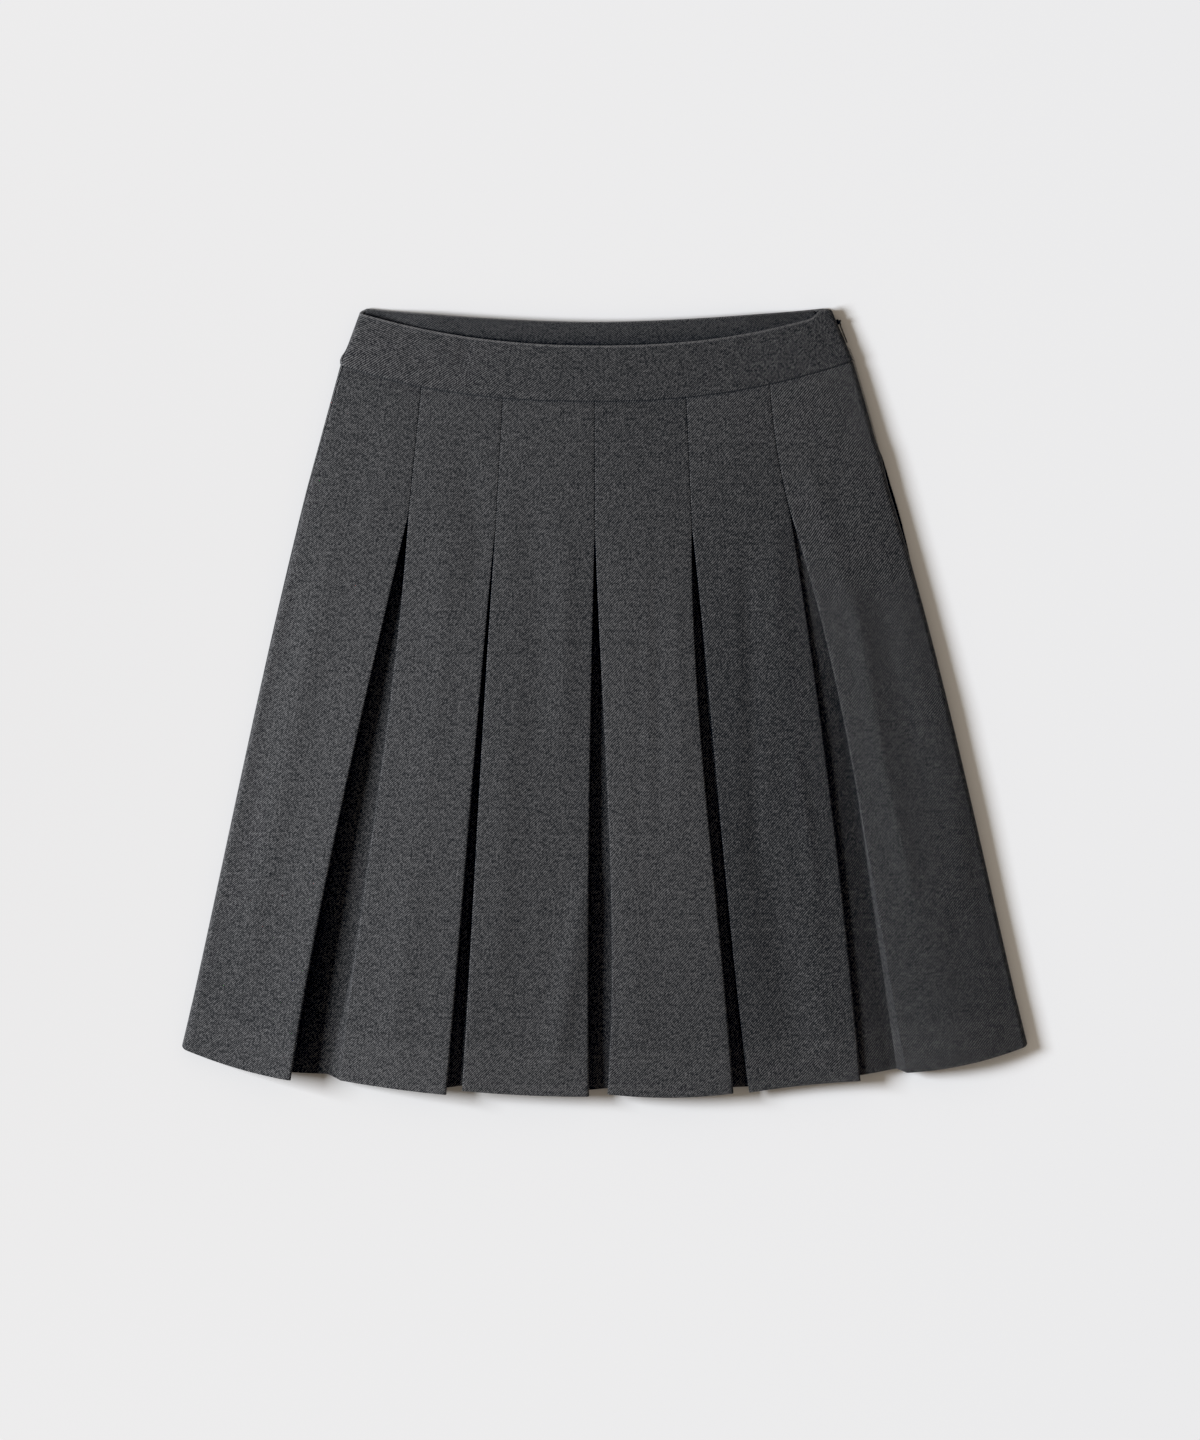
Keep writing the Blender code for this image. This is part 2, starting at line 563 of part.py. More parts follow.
def main():
    for obj in list(bpy.data.objects):
        bpy.data.objects.remove(obj)
    skirt = bpy.data.collections.new("pleated_skirt")
    bpy.context.scene.collection.children.link(skirt)
    twill = material("charcoal_twill", (0.058, 0.058, 0.061), 0.9)
    band_twill = material("waistband_twill", (0.055, 0.055, 0.058), 0.9)
    tape_finish = material("zip_tape_black", (0.012, 0.012, 0.013), 0.8)
    metal = material("blackened_metal", (0.03, 0.03, 0.032), 0.35, 0.8)

    loft("skirt_front", [front_section(share) for share in ROWS], CLOTH, skirt, twill)
    loft("skirt_back", [back_section(share) for share in ROWS], CLOTH, skirt, twill)
    band_rows = (0.0, 0.06, 0.2, 0.36, 0.6, 0.8, 1.0)
    facing_rows = (0.02, *band_rows[2:-1], 0.97)
    loft("waistband_front", [front_band_section(share) for share in band_rows], BAND, skirt, band_twill)
    loft("waistband_back", [back_band_section(share) for share in band_rows], BAND, skirt, band_twill)
    loft("waistband_facing", [facing_section(share) for share in facing_rows], CLOTH, skirt, band_twill)
    loft("zip_tape", [tape_section(*row) for row in zip_rows()], TAPE, skirt, tape_finish)
    zip_slider(skirt, metal)
    zip_pull(skirt, metal)


main()
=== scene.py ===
# %% [markdown]
# # A pleated twill skirt, laid flat
#
# The skirt lies on its back: two pleated panels, a shaped waistband with the facing that shows inside
# it, and a concealed zip in one side seam. The imported frame holds the solids that carry weight and
# collide. Here each cloth solid gets a fine shell of the same form, with its weave, seams and creases.
# The frame is loaded first: its box is printed, and each cloth solid is hidden once its shell is made.

# %% Load the frame
import math
from collections import namedtuple

import bpy
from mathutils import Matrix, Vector, noise


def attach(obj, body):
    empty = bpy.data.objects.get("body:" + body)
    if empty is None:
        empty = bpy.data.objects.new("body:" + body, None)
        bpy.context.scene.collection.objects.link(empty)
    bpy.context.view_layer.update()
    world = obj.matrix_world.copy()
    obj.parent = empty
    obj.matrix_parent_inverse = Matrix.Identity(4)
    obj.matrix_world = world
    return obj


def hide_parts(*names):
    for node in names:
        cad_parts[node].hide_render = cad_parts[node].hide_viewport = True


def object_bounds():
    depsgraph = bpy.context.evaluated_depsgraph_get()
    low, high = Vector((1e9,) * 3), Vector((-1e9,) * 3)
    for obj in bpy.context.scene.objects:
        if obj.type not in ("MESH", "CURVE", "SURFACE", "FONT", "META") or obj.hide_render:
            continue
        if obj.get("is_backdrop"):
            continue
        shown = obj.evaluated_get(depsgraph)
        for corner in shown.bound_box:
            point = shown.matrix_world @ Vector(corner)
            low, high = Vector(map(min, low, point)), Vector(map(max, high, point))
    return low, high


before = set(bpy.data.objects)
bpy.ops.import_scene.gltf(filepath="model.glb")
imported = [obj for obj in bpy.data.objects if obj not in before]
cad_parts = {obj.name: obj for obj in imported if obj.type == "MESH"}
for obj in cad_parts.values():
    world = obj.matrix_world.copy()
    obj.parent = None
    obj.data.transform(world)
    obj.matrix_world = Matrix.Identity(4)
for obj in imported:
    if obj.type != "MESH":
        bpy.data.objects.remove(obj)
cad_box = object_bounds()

MM = 0.001
print("box:", [round(a / MM) for corner in cad_box for a in corner], "mm")

# %% [markdown]
# ## The studio
#
# Cloth shows its folds only when the light rakes across it. One soft lamp on the left, about a third of
# the way up, does that, and a dim, slightly warm surround fills the shadows. The floor is pale paper. A
# single lamp lights the near side of a floor more than the far side, so the paper is graded to look
# even: darker where more light falls. A flat colour would be simpler, but would go grey on the far side.

# %% Lamp, surround and camera
LAMP_DISTANCE, LAMP_ELEVATION, LAMP_AZIMUTH = 1.7, math.radians(34), math.radians(178)
LAMP_SIZE, LAMP_POWER, LAMP_COLOUR = 0.6, 46.5, (0.935, 1.0, 1.082)
SURROUND = (0.280, 0.244, 0.200)
CAMERA_HEIGHT, CAMERA_LENS, SENSOR_WIDTH = 2.55, 85.0, 36.0  # metres, and millimetres
CAMERA_OFFSET = (-0.0034, -0.01425)
BLACK_LEVEL = (0.0072, 0.0057, 0.0036)  # the picture's black, per channel: darks get deeper and bluer

lamp_from = Vector((math.cos(LAMP_ELEVATION) * math.cos(LAMP_AZIMUTH),
                    math.cos(LAMP_ELEVATION) * math.sin(LAMP_AZIMUTH), math.sin(LAMP_ELEVATION)))
lamp_at = LAMP_DISTANCE * lamp_from
lamp_data = bpy.data.lights.new("softbox", "AREA")
lamp_data.shape = "SQUARE"
lamp_data.size = LAMP_SIZE
lamp_data.energy = LAMP_POWER
lamp_data.color = LAMP_COLOUR
lamp = bpy.data.objects.new("softbox", lamp_data)
lamp.location = lamp_at
lamp.rotation_euler = lamp_from.to_track_quat("Z", "Y").to_euler()
bpy.context.scene.collection.objects.link(lamp)

world = bpy.data.worlds.new("surround")
world.use_nodes = True
world.node_tree.nodes["Background"].inputs["Color"].default_value = (*SURROUND, 1.0)
world.node_tree.nodes["Background"].inputs["Strength"].default_value = 1.0
bpy.context.scene.world = world

camera_data = bpy.data.cameras.new("camera")
camera_data.lens = CAMERA_LENS
camera_data.sensor_width = SENSOR_WIDTH
camera = bpy.data.objects.new("camera", camera_data)
camera.location = (*CAMERA_OFFSET, CAMERA_HEIGHT)
bpy.context.scene.collection.objects.link(camera)
bpy.context.scene.camera = camera
view = bpy.context.scene.view_settings
view.view_transform = "Standard"
view.use_curve_mapping = True
view.curve_mapping.black_level = BLACK_LEVEL
view.curve_mapping.update()
print("camera", CAMERA_HEIGHT, "m above the floor")


# %% Node helpers
def new_material(name, roughness):
    """An empty Principled material, and its tree."""
    made = bpy.data.materials.new(name)
    made.use_nodes = True
    shader = made.node_tree.nodes["Principled BSDF"]
    shader.inputs["Roughness"].default_value = roughness
    return made, made.node_tree, shader


def add(tree, kind, values=(), **settings):
    """Adds a node, sets its properties, and sets or links its inputs by name or index."""
    node = tree.nodes.new(kind)
    for name, value in settings.items():
        setattr(node, name, value)
    for key, value in dict(values).items():
        if isinstance(value, bpy.types.NodeSocket):
            tree.links.new(value, node.inputs[key])
        else:
            node.inputs[key].default_value = value
    return node


def calc(tree, operation, *values):
    """A Math node's result."""
    return add(tree, "ShaderNodeMath", enumerate(values), operation=operation).outputs[0]


def ramp(tree, factor, stops):
    """A colour ramp through (position, grey or colour) stops."""
    node = add(tree, "ShaderNodeValToRGB", {"Fac": factor})
    elements = node.color_ramp.elements
    while len(elements) < len(stops):
        elements.new(1.0)
    for element, (position, colour) in zip(elements, stops):
        element.position = position
        element.color = (*colour, 1.0) if hasattr(colour, "__len__") else (colour, colour, colour, 1.0)
    return node.outputs["Color"]


# %% Floor
FLOOR_HALF, FLOOR_LEVEL = 2.5, -0.0004  # metres, just under the cloth
FLOOR_TONES = (0.764, 0.746, 0.732)
LAMP_PARTS = (0.717, 0.757, 0.804)  # the lamp's part in the red, green and blue light on the floor's middle

floor_paper, tree, shader = new_material("floor_paper", 0.95)
shader.inputs["Specular IOR Level"].default_value = 0.0

place = add(tree, "ShaderNodeTexCoord").outputs["Object"]
reach = add(tree, "ShaderNodeVectorMath", {0: place, 1: lamp_at}, operation="DISTANCE").outputs["Value"]
away = add(tree, "ShaderNodeVectorMath", {0: place, 1: -lamp_at / LAMP_DISTANCE ** 2}, operation="DOT_PRODUCT")
turned = calc(tree, "ADD", away.outputs["Value"], 1.0)
nearness = calc(tree, "POWER", calc(tree, "DIVIDE", LAMP_DISTANCE, reach), 4.0)
lamp_light = calc(tree, "MULTIPLY", nearness, turned)
parts = [calc(tree, "DIVIDE", tone, calc(tree, "MULTIPLY_ADD", lamp_light, part, 1 - part))
         for tone, part in zip(FLOOR_TONES, LAMP_PARTS)]
paper = add(tree, "ShaderNodeCombineColor", enumerate(parts)).outputs[0]
tree.links.new(paper, shader.inputs["Base Color"])

floor_mesh = bpy.data.meshes.new("floor")
corners = [(x * FLOOR_HALF, y * FLOOR_HALF, FLOOR_LEVEL) for x, y in ((-1, -1), (1, -1), (1, 1), (-1, 1))]
floor_mesh.from_pydata(corners, [], [(0, 1, 2, 3)])
floor_mesh.materials.append(floor_paper)
floor = bpy.data.objects.new("floor", floor_mesh)
bpy.context.scene.collection.objects.link(floor)
floor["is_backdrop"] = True
print("floor", 2 * FLOOR_HALF, "m square")

# %% [markdown]
# ## The cloth's finish
#
# The cloth is a melange twill. Yarns spun from dark and light fibres pass over two and under one, and
# each pass steps one yarn along, so raised lines climb to the right. From a step away the lines, the
# light flecks and a faint cloudiness make it charcoal grey rather than black. An image could hold all
# that, but would blur or repeat. Here each layer is a small set of nodes on the cloth's own map, whose
# unit is the metre, so the lines keep their true spacing and turn with each panel's grain.

# %% Twill
WALE, BAND_WALE = 1.3 * MM, 1.4 * MM  # between two diagonal lines
FACING_PAINTED_SHADE_TONE = 0.55  # painted shade: the facing is this much of the cloth's tone, a darker copy for the shade inside the band
FLECK = (640.0, 430.0, 1.0)  # flecks for each metre, across and along the yarns
LINE_TONE, STEP_TONE, FLECK_TONE, CLOUD_TONE = 0.38, 0.05, 2.6, 0.5  # how much each layer adds
TWILL_TINT = (1.07, 1.017, 0.998)  # slightly warm, against the blue of the picture's darks
TWILL_GREYS = ((0.0, 0.002), (0.3, 0.008), (0.5, 0.023), (0.7, 0.052), (1.0, 0.12))


def twill(name, tone=1.0, wale=WALE):
    """Melange twill. tone lightens or darkens it, and so does each sheet's shade attribute, which is mostly
    painted light and shade.
    """
    made, tree, shader = new_material(name, 0.9)
    shader.inputs["Specular IOR Level"].default_value = 0.25
    shader.inputs["Sheen Weight"].default_value = 0.1
    shader.inputs["Sheen Roughness"].default_value = 0.5
    shader.inputs["Sheen Tint"].default_value = (0.8, 0.82, 0.86, 1.0)
    weave = add(tree, "ShaderNodeUVMap", uv_map="weave").outputs[0]
    turns = 2 * math.pi / wale / math.sqrt(2)
    drift = add(tree, "ShaderNodeTexNoise", {"Vector": weave, "Scale": 90.0, "Detail": 1.0}).outputs[0]
    phase = add(tree, "ShaderNodeVectorMath", {0: weave, 1: (turns, turns, 0.0)}, operation="DOT_PRODUCT")
    line = calc(tree, "SINE", calc(tree, "MULTIPLY_ADD", drift, 6.0, phase.outputs["Value"]))
    steps = add(tree, "ShaderNodeVectorMath", {0: weave, 1: (turns, -1.35 * turns, 0.0)},
                operation="DOT_PRODUCT")
    step = calc(tree, "SINE", calc(tree, "MULTIPLY_ADD", drift, -5.0, steps.outputs["Value"]))
    stretched = add(tree, "ShaderNodeMapping", {"Vector": weave, "Scale": FLECK}).outputs[0]
    fleck = add(tree, "ShaderNodeTexNoise", {"Vector": stretched, "Scale": 1.0, "Detail": 2.0,
                                             "Roughness": 1.0}).outputs[0]
    cloud = add(tree, "ShaderNodeTexNoise", {"Vector": weave, "Scale": 150.0, "Detail": 3.0,
                                             "Roughness": 0.6}).outputs[0]
    tone_at = calc(tree, "MULTIPLY_ADD", line, LINE_TONE, 0.5)
    tone_at = calc(tree, "MULTIPLY_ADD", step, STEP_TONE, tone_at)
    tone_at = calc(tree, "ADD", tone_at, calc(tree, "MULTIPLY_ADD", fleck, FLECK_TONE, -FLECK_TONE / 2))
    tone_at = calc(tree, "ADD", tone_at, calc(tree, "MULTIPLY_ADD", cloud, CLOUD_TONE, -CLOUD_TONE / 2))
    # each sheet's shades, mostly painted light and shade, added to the tone
    shade = add(tree, "ShaderNodeAttribute", attribute_name="shade").outputs["Fac"]
    tone_at = calc(tree, "ADD", tone_at, shade)
    stops = [(at, tuple(tone * grey * c for c in TWILL_TINT)) for at, grey in TWILL_GREYS]
    tree.links.new(ramp(tree, tone_at, stops), shader.inputs["Base Color"])
    relief = calc(tree, "ADD", calc(tree, "MULTIPLY", line, 0.7), calc(tree, "MULTIPLY", fleck, 1.0))
    bump = add(tree, "ShaderNodeBump", {"Height": relief, "Strength": 0.5, "Distance": 0.14 * MM})
    tree.links.new(bump.outputs[0], shader.inputs["Normal"])
    return made


cloth = twill("charcoal_twill")
band_cloth = twill("waistband_twill", wale=BAND_WALE)
facing_cloth = twill("facing_twill", tone=FACING_PAINTED_SHADE_TONE, wale=BAND_WALE)
print("twill lines", round(WALE / MM, 2), "mm apart")


# %% Thread, tape and metal
def plain(name, colour, roughness, metallic=0.0, grain=900.0, depth=0.05):
    """A plain finish with a fine grain on Object coordinates."""
    made, tree, shader = new_material(name, roughness)
    shader.inputs["Metallic"].default_value = metallic
    place = add(tree, "ShaderNodeTexCoord").outputs["Object"]
    speck = add(tree, "ShaderNodeTexNoise", {"Vector": place, "Scale": grain, "Detail": 2.0}).outputs[0]
    low, high = (tuple(c * share for c in colour) for share in (0.75, 1.3))
    tree.links.new(ramp(tree, speck, [(0.3, low), (0.7, high)]), shader.inputs["Base Color"])
    bump = add(tree, "ShaderNodeBump", {"Height": speck, "Strength": 0.4, "Distance": depth * MM})
    tree.links.new(bump.outputs[0], shader.inputs["Normal"])
    return made


thread = plain("dark_thread", (0.022, 0.022, 0.024), 0.7, grain=2500.0)
coil_nylon = plain("black_nylon", (0.010, 0.010, 0.011), 0.45)
tape_weave = plain("zip_tape_weave", (0.011, 0.011, 0.012), 0.85, grain=1600.0, depth=0.12)
lacquer = plain("black_lacquer", (0.02, 0.02, 0.021), 0.32, metallic=0.7, grain=400.0, depth=0.02)

# %% [markdown]
# ## How the front is folded
#
# The front is one width of cloth. Five times its two edges turn back to meet, which makes an inverted
# pleat with the spare cloth behind it. The pleats are sewn shut over the hip and let go below. Since
# no two opened the same way, each edge is a row in a table: where it runs, how much cloth turns back
# under it, how round it is and how high it stands at the hem. A cloth simulation could fold a flat
# sheet, but wouldn't land on these folds. A formula turns each row of the table into a smooth fold.

# %% Sizes, in millimetres
PLEATS = 5
CLOTH, BAND, SEAM_GAP, WAIST_GAP = 0.7, 2.4, 0.12, 0.6
BACK_LEVEL, BACK_RISE = 0.5, 3.0
UNDER_LEVEL, WAIST_LEVEL, RELEASE_LEVEL = 5.0, 8.9, 10.4
WAIST_CROWN, RELEASE_CROWN = 0.4, 0.8  # how much higher a panel's middle is than its edges
GROWTH = 0.7  # below 1, the pleats stand up sooner below the yoke
SIDE_MIDDLE, SIDE_DEPTH, SIDE_FULLNESS = 4.5, 6.5, 0.6
RELEASE, UPPER, LOWER, HEM = STATIONS = (0.186, 0.45, 0.72, 1.0)
TUCK_WAIST, TUCK_RELEASE, TUCK_HEM = 22.0, 25.0, 33.0
TIGHT_RADIUS = 0.25
UNDER_LIFT = 4.0  # behind a pleat the cloth hangs this much shorter
UNDER_BULGES = (0.0, 0.35, 0.08, 0.18, 0.62)  # and bulges up by this share of the pleat's height
HEM_CORNER, HEM_CORNER_RISE = 4.0, 0.8  # how wide a corner is, and how much of that it rises
HEM_LAYERS = 1.4  # the pressed turn-up is this much thicker than one layer

Fold = namedtuple("Fold", "waist release upper lower hem hem_y tuck_upper tuck_lower tuck_hem radius height")
FRONT_FOLDS = (
    Fold(-136.9, -146.6, -177.8, -207.5, -233.3, -282.0, 28, 31, 33, 1.3, 26.0),
    Fold(-136.9, -146.6, -160.1, -179.3, -198.4, -283.5, 16, 4, -10, 1.2, 9.0),
    Fold(-76.1, -81.4, -93.8, -105.4, -117.8, -293.2, 28, 31, 33, 1.2, 20.5),
    Fold(-76.1, -81.4, -90.1, -97.9, -106.1, -290.8, 28, 31, 33, 0.5, 16.0),
    Fold(-7.5, -7.1, -10.1, -11.6, -11.6, -295.0, 28, 31, 33, 1.2, 17.0),
    Fold(-7.5, -7.1, -0.8, 4.9, 2.3, -293.6, 27, 24, 18, 0.7, 13.0),
    Fold(61.1, 65.3, 70.5, 83.3, 96.0, -292.5, 28, 31, 33, 1.2, 17.5),
    Fold(61.1, 65.3, 79.1, 91.9, 108.0, -292.5, 28, 31, 33, 0.5, 11.0),
    Fold(123.8, 138.8, 159.2, 176.6, 190.9, -283.5, 28, 31, 33, 1.2, 15.5),
    Fold(123.8, 138.8, 174.5, 200.0, 225.0, -278.0, 3, -4, -8, 3.0, 9.5),
)
FRONT_LEFT = Fold(-197.6, -223.4, -255.1, -285.0, -316.1, -259.5, 0, 0, 0, 0, 10.5)
FRONT_RIGHT = Fold(187.1, 213.0, 250.7, 283.5, 316.4, -258.0, 0, 0, 0, 0, 9.0)
FRONT_EDGES = (FRONT_LEFT, *FRONT_FOLDS, FRONT_RIGHT)

Panel = namedtuple("Panel", "height sag")
FRONT_PANELS = (Panel(15.5, 3.0), Panel(15.0, 0.8), Panel(16.0, 1.1), Panel(15.5, 2.8), Panel(12.0, -1.0),
                Panel(13.0, 3.4))
YOKE_BOW = {123.8: -2.5, 187.1: 0.8}

Dip = namedtuple("Dip", "left_x left centre right_x right left_power right_power")
FRONT_SEAM = Dip(-197.5, 251.0, 224.0, 187.4, 255.0, 2.4, 2.2)
BACK_SEAM = Dip(-197.5, 252.0, 246.0, 187.4, 255.0, 2.0, 2.0)
FRONT_TOP = Dip(-183.2, 290.0, 265.6, 171.5, 291.0, 2.15, 2.25)
BACK_TOP = Dip(-183.2, 294.8, 283.6, 171.5, 295.0, 1.8, 1.7)
BAND_SEAM_LEVEL, BAND_EDGE_LEVEL, BAND_CROWN = 9.6, 8.4, 0.8
LEFT_TURN, LEFT_TURN_HEM, BAND_TURN, RIGHT_TURN = 55.0, 10.0, -5.0, 0.0  # degrees round the side
LEFT_TURN_SPAN, BAND_TURN_FROM, BAND_TURN_SPAN = 0.6, 0.06, 0.3
SIDE_GAP, ZIP_GAP = 0.1, 2.0
ZIP_END, PEEK, PEEK_STATION, PEEK_SPAN = 0.27, 2.2, 0.205, 0.085


# %% Curves through the tables
def mix(a, b, share):
    """A share of the way from a to b."""
    return a + (b - a) * share


def spread(start, end, count):
    """count values from start to end, both included."""
    return [mix(start, end, i / (count - 1)) for i in range(count)]


def ease(share):
    """0 to 1, with a soft start and end."""
    share = min(1.0, max(0.0, share))
    return share * share * (3 - 2 * share)


def through(stations, values, share):
    """The polynomial through the values at the stations."""
    total = 0.0
    for i, value in enumerate(values):
        weight = 1.0
        for j, station in enumerate(stations):
            if j != i:
                weight *= (share - station) / (stations[i] - station)
        total += weight * value
    return total


def dipped(edge, x):
    """y on a dipping edge at x."""
    from_centre = 2 * (x - edge.left_x) / (edge.right_x - edge.left_x) - 1
    power = edge.left_power if from_centre < 0 else edge.right_power
    end = edge.left if from_centre < 0 else edge.right
    return edge.centre + (end - edge.centre) * abs(from_centre) ** power


def fold_x(fold, share):
    """Where a fold runs: a seam above the release point, free below it."""
    if share >= RELEASE:
        return through(STATIONS, (fold.release, fold.upper, fold.lower, fold.hem), share)
    down = share / RELEASE
    return mix(fold.waist, fold.release, down) + YOKE_BOW.get(fold.waist, 0.0) * 4 * down * (1 - down)


def fold_tuck(fold, share):
    """How far the cloth turns back under at a fold."""
    if share >= RELEASE:
        return through(STATIONS, (TUCK_RELEASE, fold.tuck_upper, fold.tuck_lower, fold.tuck_hem), share)
    return mix(TUCK_WAIST, TUCK_RELEASE, share / RELEASE)


def height(at_waist, at_release, at_hem, share):
    """A height that grows down the skirt."""
    if share < RELEASE:
        return mix(at_waist, at_release, share / RELEASE)
    return mix(at_release, at_hem, ((share - RELEASE) / (HEM - RELEASE)) ** GROWTH)


def corner_rise(x, xs, share):
    """How far the hem's rounded corners stand up, at the two sides."""
    near = max(0.0, 1 - min(x - xs[0], xs[-1] - x) / HEM_CORNER)
    rounded = 1 - math.sqrt(max(0.0, 1 - min(near, 1.0) ** 2))
    return HEM_CORNER * HEM_CORNER_RISE * rounded * max(0.0, share * 10 - 9) ** 2


def level_y(folds, xs, panels, seam, share, x):
    """y of the line across a pleated piece at a station, where its folds are at xs."""
    i = max(0, min(len(xs) - 2, sum(1 for edge in xs if edge <= x) - 1))
    across = min(1.0, max(0.0, (x - xs[i]) / max(xs[i + 1] - xs[i], 1e-6)))
    ends = folds[i], folds[i + 1]
    waist_x = mix(ends[0].waist, ends[1].waist, across)
    sag = panels[i // 2].sag * 4 * across * (1 - across) if i % 2 == 0 else 0.0
    hem_y = mix(ends[0].hem_y, ends[1].hem_y, across) - sag
    return mix(dipped(seam, waist_x) - WAIST_GAP / 2, hem_y, share) + corner_rise(x, xs, share)


# %% One fold, and one side
def fold_profile(rise, tuck, radius, steps=6, between=4):
    """Cloth that turns back under: two arcs and the straight between them, rise high, tuck deep."""
    radius = min(radius, rise / 4)
    level = rise - 2 * radius
    turn = math.atan2(tuck, level) + math.acos(-2 * radius / math.hypot(level, tuck))
    first = [(radius * math.sin(a), radius - radius * math.cos(a)) for a in spread(0, turn, steps)]
    last = [(-tuck - radius * math.sin(a), rise - radius + radius * math.cos(a))
            for a in spread(turn, 0, steps)]
    straight = [(mix(first[-1][0], last[0][0], s), mix(first[-1][1], last[0][1], s))
                for s in spread(0, 1, between + 2)[1:-1]]
    return first + straight + last


def side_turn(side_x, inward, top, angles, inset):
    """Points (x, z) round a side. 0 degrees is its widest line, 90 its top and -90 its underside."""
    points = []
    for angle in map(math.radians, angles):
        tall = top - SIDE_MIDDLE if angle > 0 else SIDE_MIDDLE
        out = max(0.0, math.cos(angle)) ** SIDE_FULLNESS
        x = side_x + inward * (SIDE_DEPTH - (SIDE_DEPTH - inset) * out)
        points.append((x, SIDE_MIDDLE + (tall - inset) * math.sin(angle)))
    return points


def left_turn(share):
    """Where the left seam runs on the rounded side: on top at the waist, and turned under at the hem."""
    return mix(LEFT_TURN, LEFT_TURN_HEM, ease(share / LEFT_TURN_SPAN))


def gap_angle(gap, wall):
    """Degrees round the side that half a gap takes."""
    return math.degrees(math.asin(gap / 2 / (SIDE_MIDDLE - wall / 2)))


print("a fold 10 mm high that turns 35 mm under:", len(fold_profile(10, 35, 1)), "points")

# %% [markdown]
# ## Creases
#
# Between the pleats the cloth isn't flat. Storage leaves shallow ridges and troughs, longer than they
# are wide and uneven in depth. They could come from noise, but noise puts them anywhere. Each one here
# is a line, listed with a width and a depth, and fades at both ends. A very shallow noise under
# them keeps the rest from looking ironed.

# %% Creases of the front, in millimetres
Crease = namedtuple("Crease", "line width depth")
FRONT_CREASES = (
    Crease(((-225, 120), (-258, -40), (-276, -150)), 11, -0.9),
    Crease(((-196, 150), (-228, 0), (-262, -170), (-276, -255)), 10, 0.8),
    Crease(((-170, 215), (-196, 120)), 12, -0.5),
    Crease(((-118, 150), (-124, 20), (-140, -120)), 9, 0.5),
    Crease(((-108, 205), (-94, 120), (-98, 60)), 12, -0.9),
    Crease(((-140, -100), (-152, -210), (-160, -285)), 12, 0.8),
    Crease(((-60, 190), (-50, 60), (-52, -60)), 12, -0.7),
    Crease(((-28, 140), (-30, 0), (-36, -70)), 8, 0.6),
    Crease(((-11, -112), (-26, -205), (-41, -292)), 9, 1.5),
    Crease(((-70, 20), (-76, -120), (-84, -240)), 12, 0.7),
    Crease(((26, 90), (26, -30), (24, -140)), 4, -0.35),
    Crease(((38, 120), (40, 0), (41, -110)), 5, -0.45),
    Crease(((53, 100), (56, 0), (58, -90)), 6, 0.35),
    Crease(((18, -60), (20, -180), (26, -285)), 11, 0.6),
    Crease(((105, 130), (110, 10), (113, -119), (116, -150)), 7, -1.0),
    Crease(((112, -60), (128, -165), (141, -250), (146, -285)), 15, -1.6),
    Crease(((125, 150), (130, 60), (136, -10)), 8, 0.6),
    Crease(((139, -15), (150, -90), (160, -165)), 5, 0.8),
    Crease(((150, -140), (164, -230), (170, -285)), 11, 0.6),
    Crease(((166, 130), (190, 55), (207, -45), (231, -150), (240, -180)), 7, 1.1),
    Crease(((196, 120), (222, 0), (246, -110)), 10, -0.9),
    Crease(((150, 180), (172, 110)), 9, 0.7),
    Crease(((242, 30), (262, -60), (272, -160)), 9, 0.6),
    Crease(((262, -150), (270, -230)), 14, -0.7),
)
CREASE_GAIN = 1.4  # every crease's depth is raised by this much
COCKLE = ((46.0, 78.0, 0.35), (15.0, 24.0, 0.10))  # width, length and height of the noise's waves
WAVES_APART = 3.7  # so that the two waves don't follow each other


def near_line(x, y, line):
    """Distance from a point to a line of two or more points, and how far along it that is, 0 to 1."""
    lengths = [math.dist(a, b) for a, b in zip(line, line[1:])]
    best, at, gone = 1e9, 0.0, 0.0
    for (ax, ay), (bx, by), length in zip(line, line[1:], lengths):
        along = min(1.0, max(0.0, ((x - ax) * (bx - ax) + (y - ay) * (by - ay)) / length ** 2))
        far = math.hypot(x - mix(ax, bx, along), y - mix(ay, by, along))
        if far < best:
            best, at = far, (gone + along * length) / sum(lengths)
        gone += length
    return best, at


def crease_lift(x, y, creases):
    """Height of all the creases at a point. Each fades over its first and last quarter."""
    lift = 0.0
    for crease in creases:
        far, at = near_line(x, y, crease.line)
        if far < 3 * crease.width:
            lift += crease.depth * math.exp(-(far / crease.width) ** 2) * ease(4 * at) * ease(4 - 4 * at)
    return CREASE_GAIN * lift


def cockle(x, y):
    """Height of the faint unevenness at a point."""
    return sum(tall * noise.noise((x / wide, y / long, WAVES_APART * i))
               for i, (wide, long, tall) in enumerate(COCKLE))


print(len(FRONT_CREASES), "creases on the front")


# %% Sheets from rows of points
def length_along(points):
    """Running length along a row of points, in their own unit."""
    run = [0.0]
    for a, b in zip(points, points[1:]):
        run.append(run[-1] + math.dist(a, b))
    return run


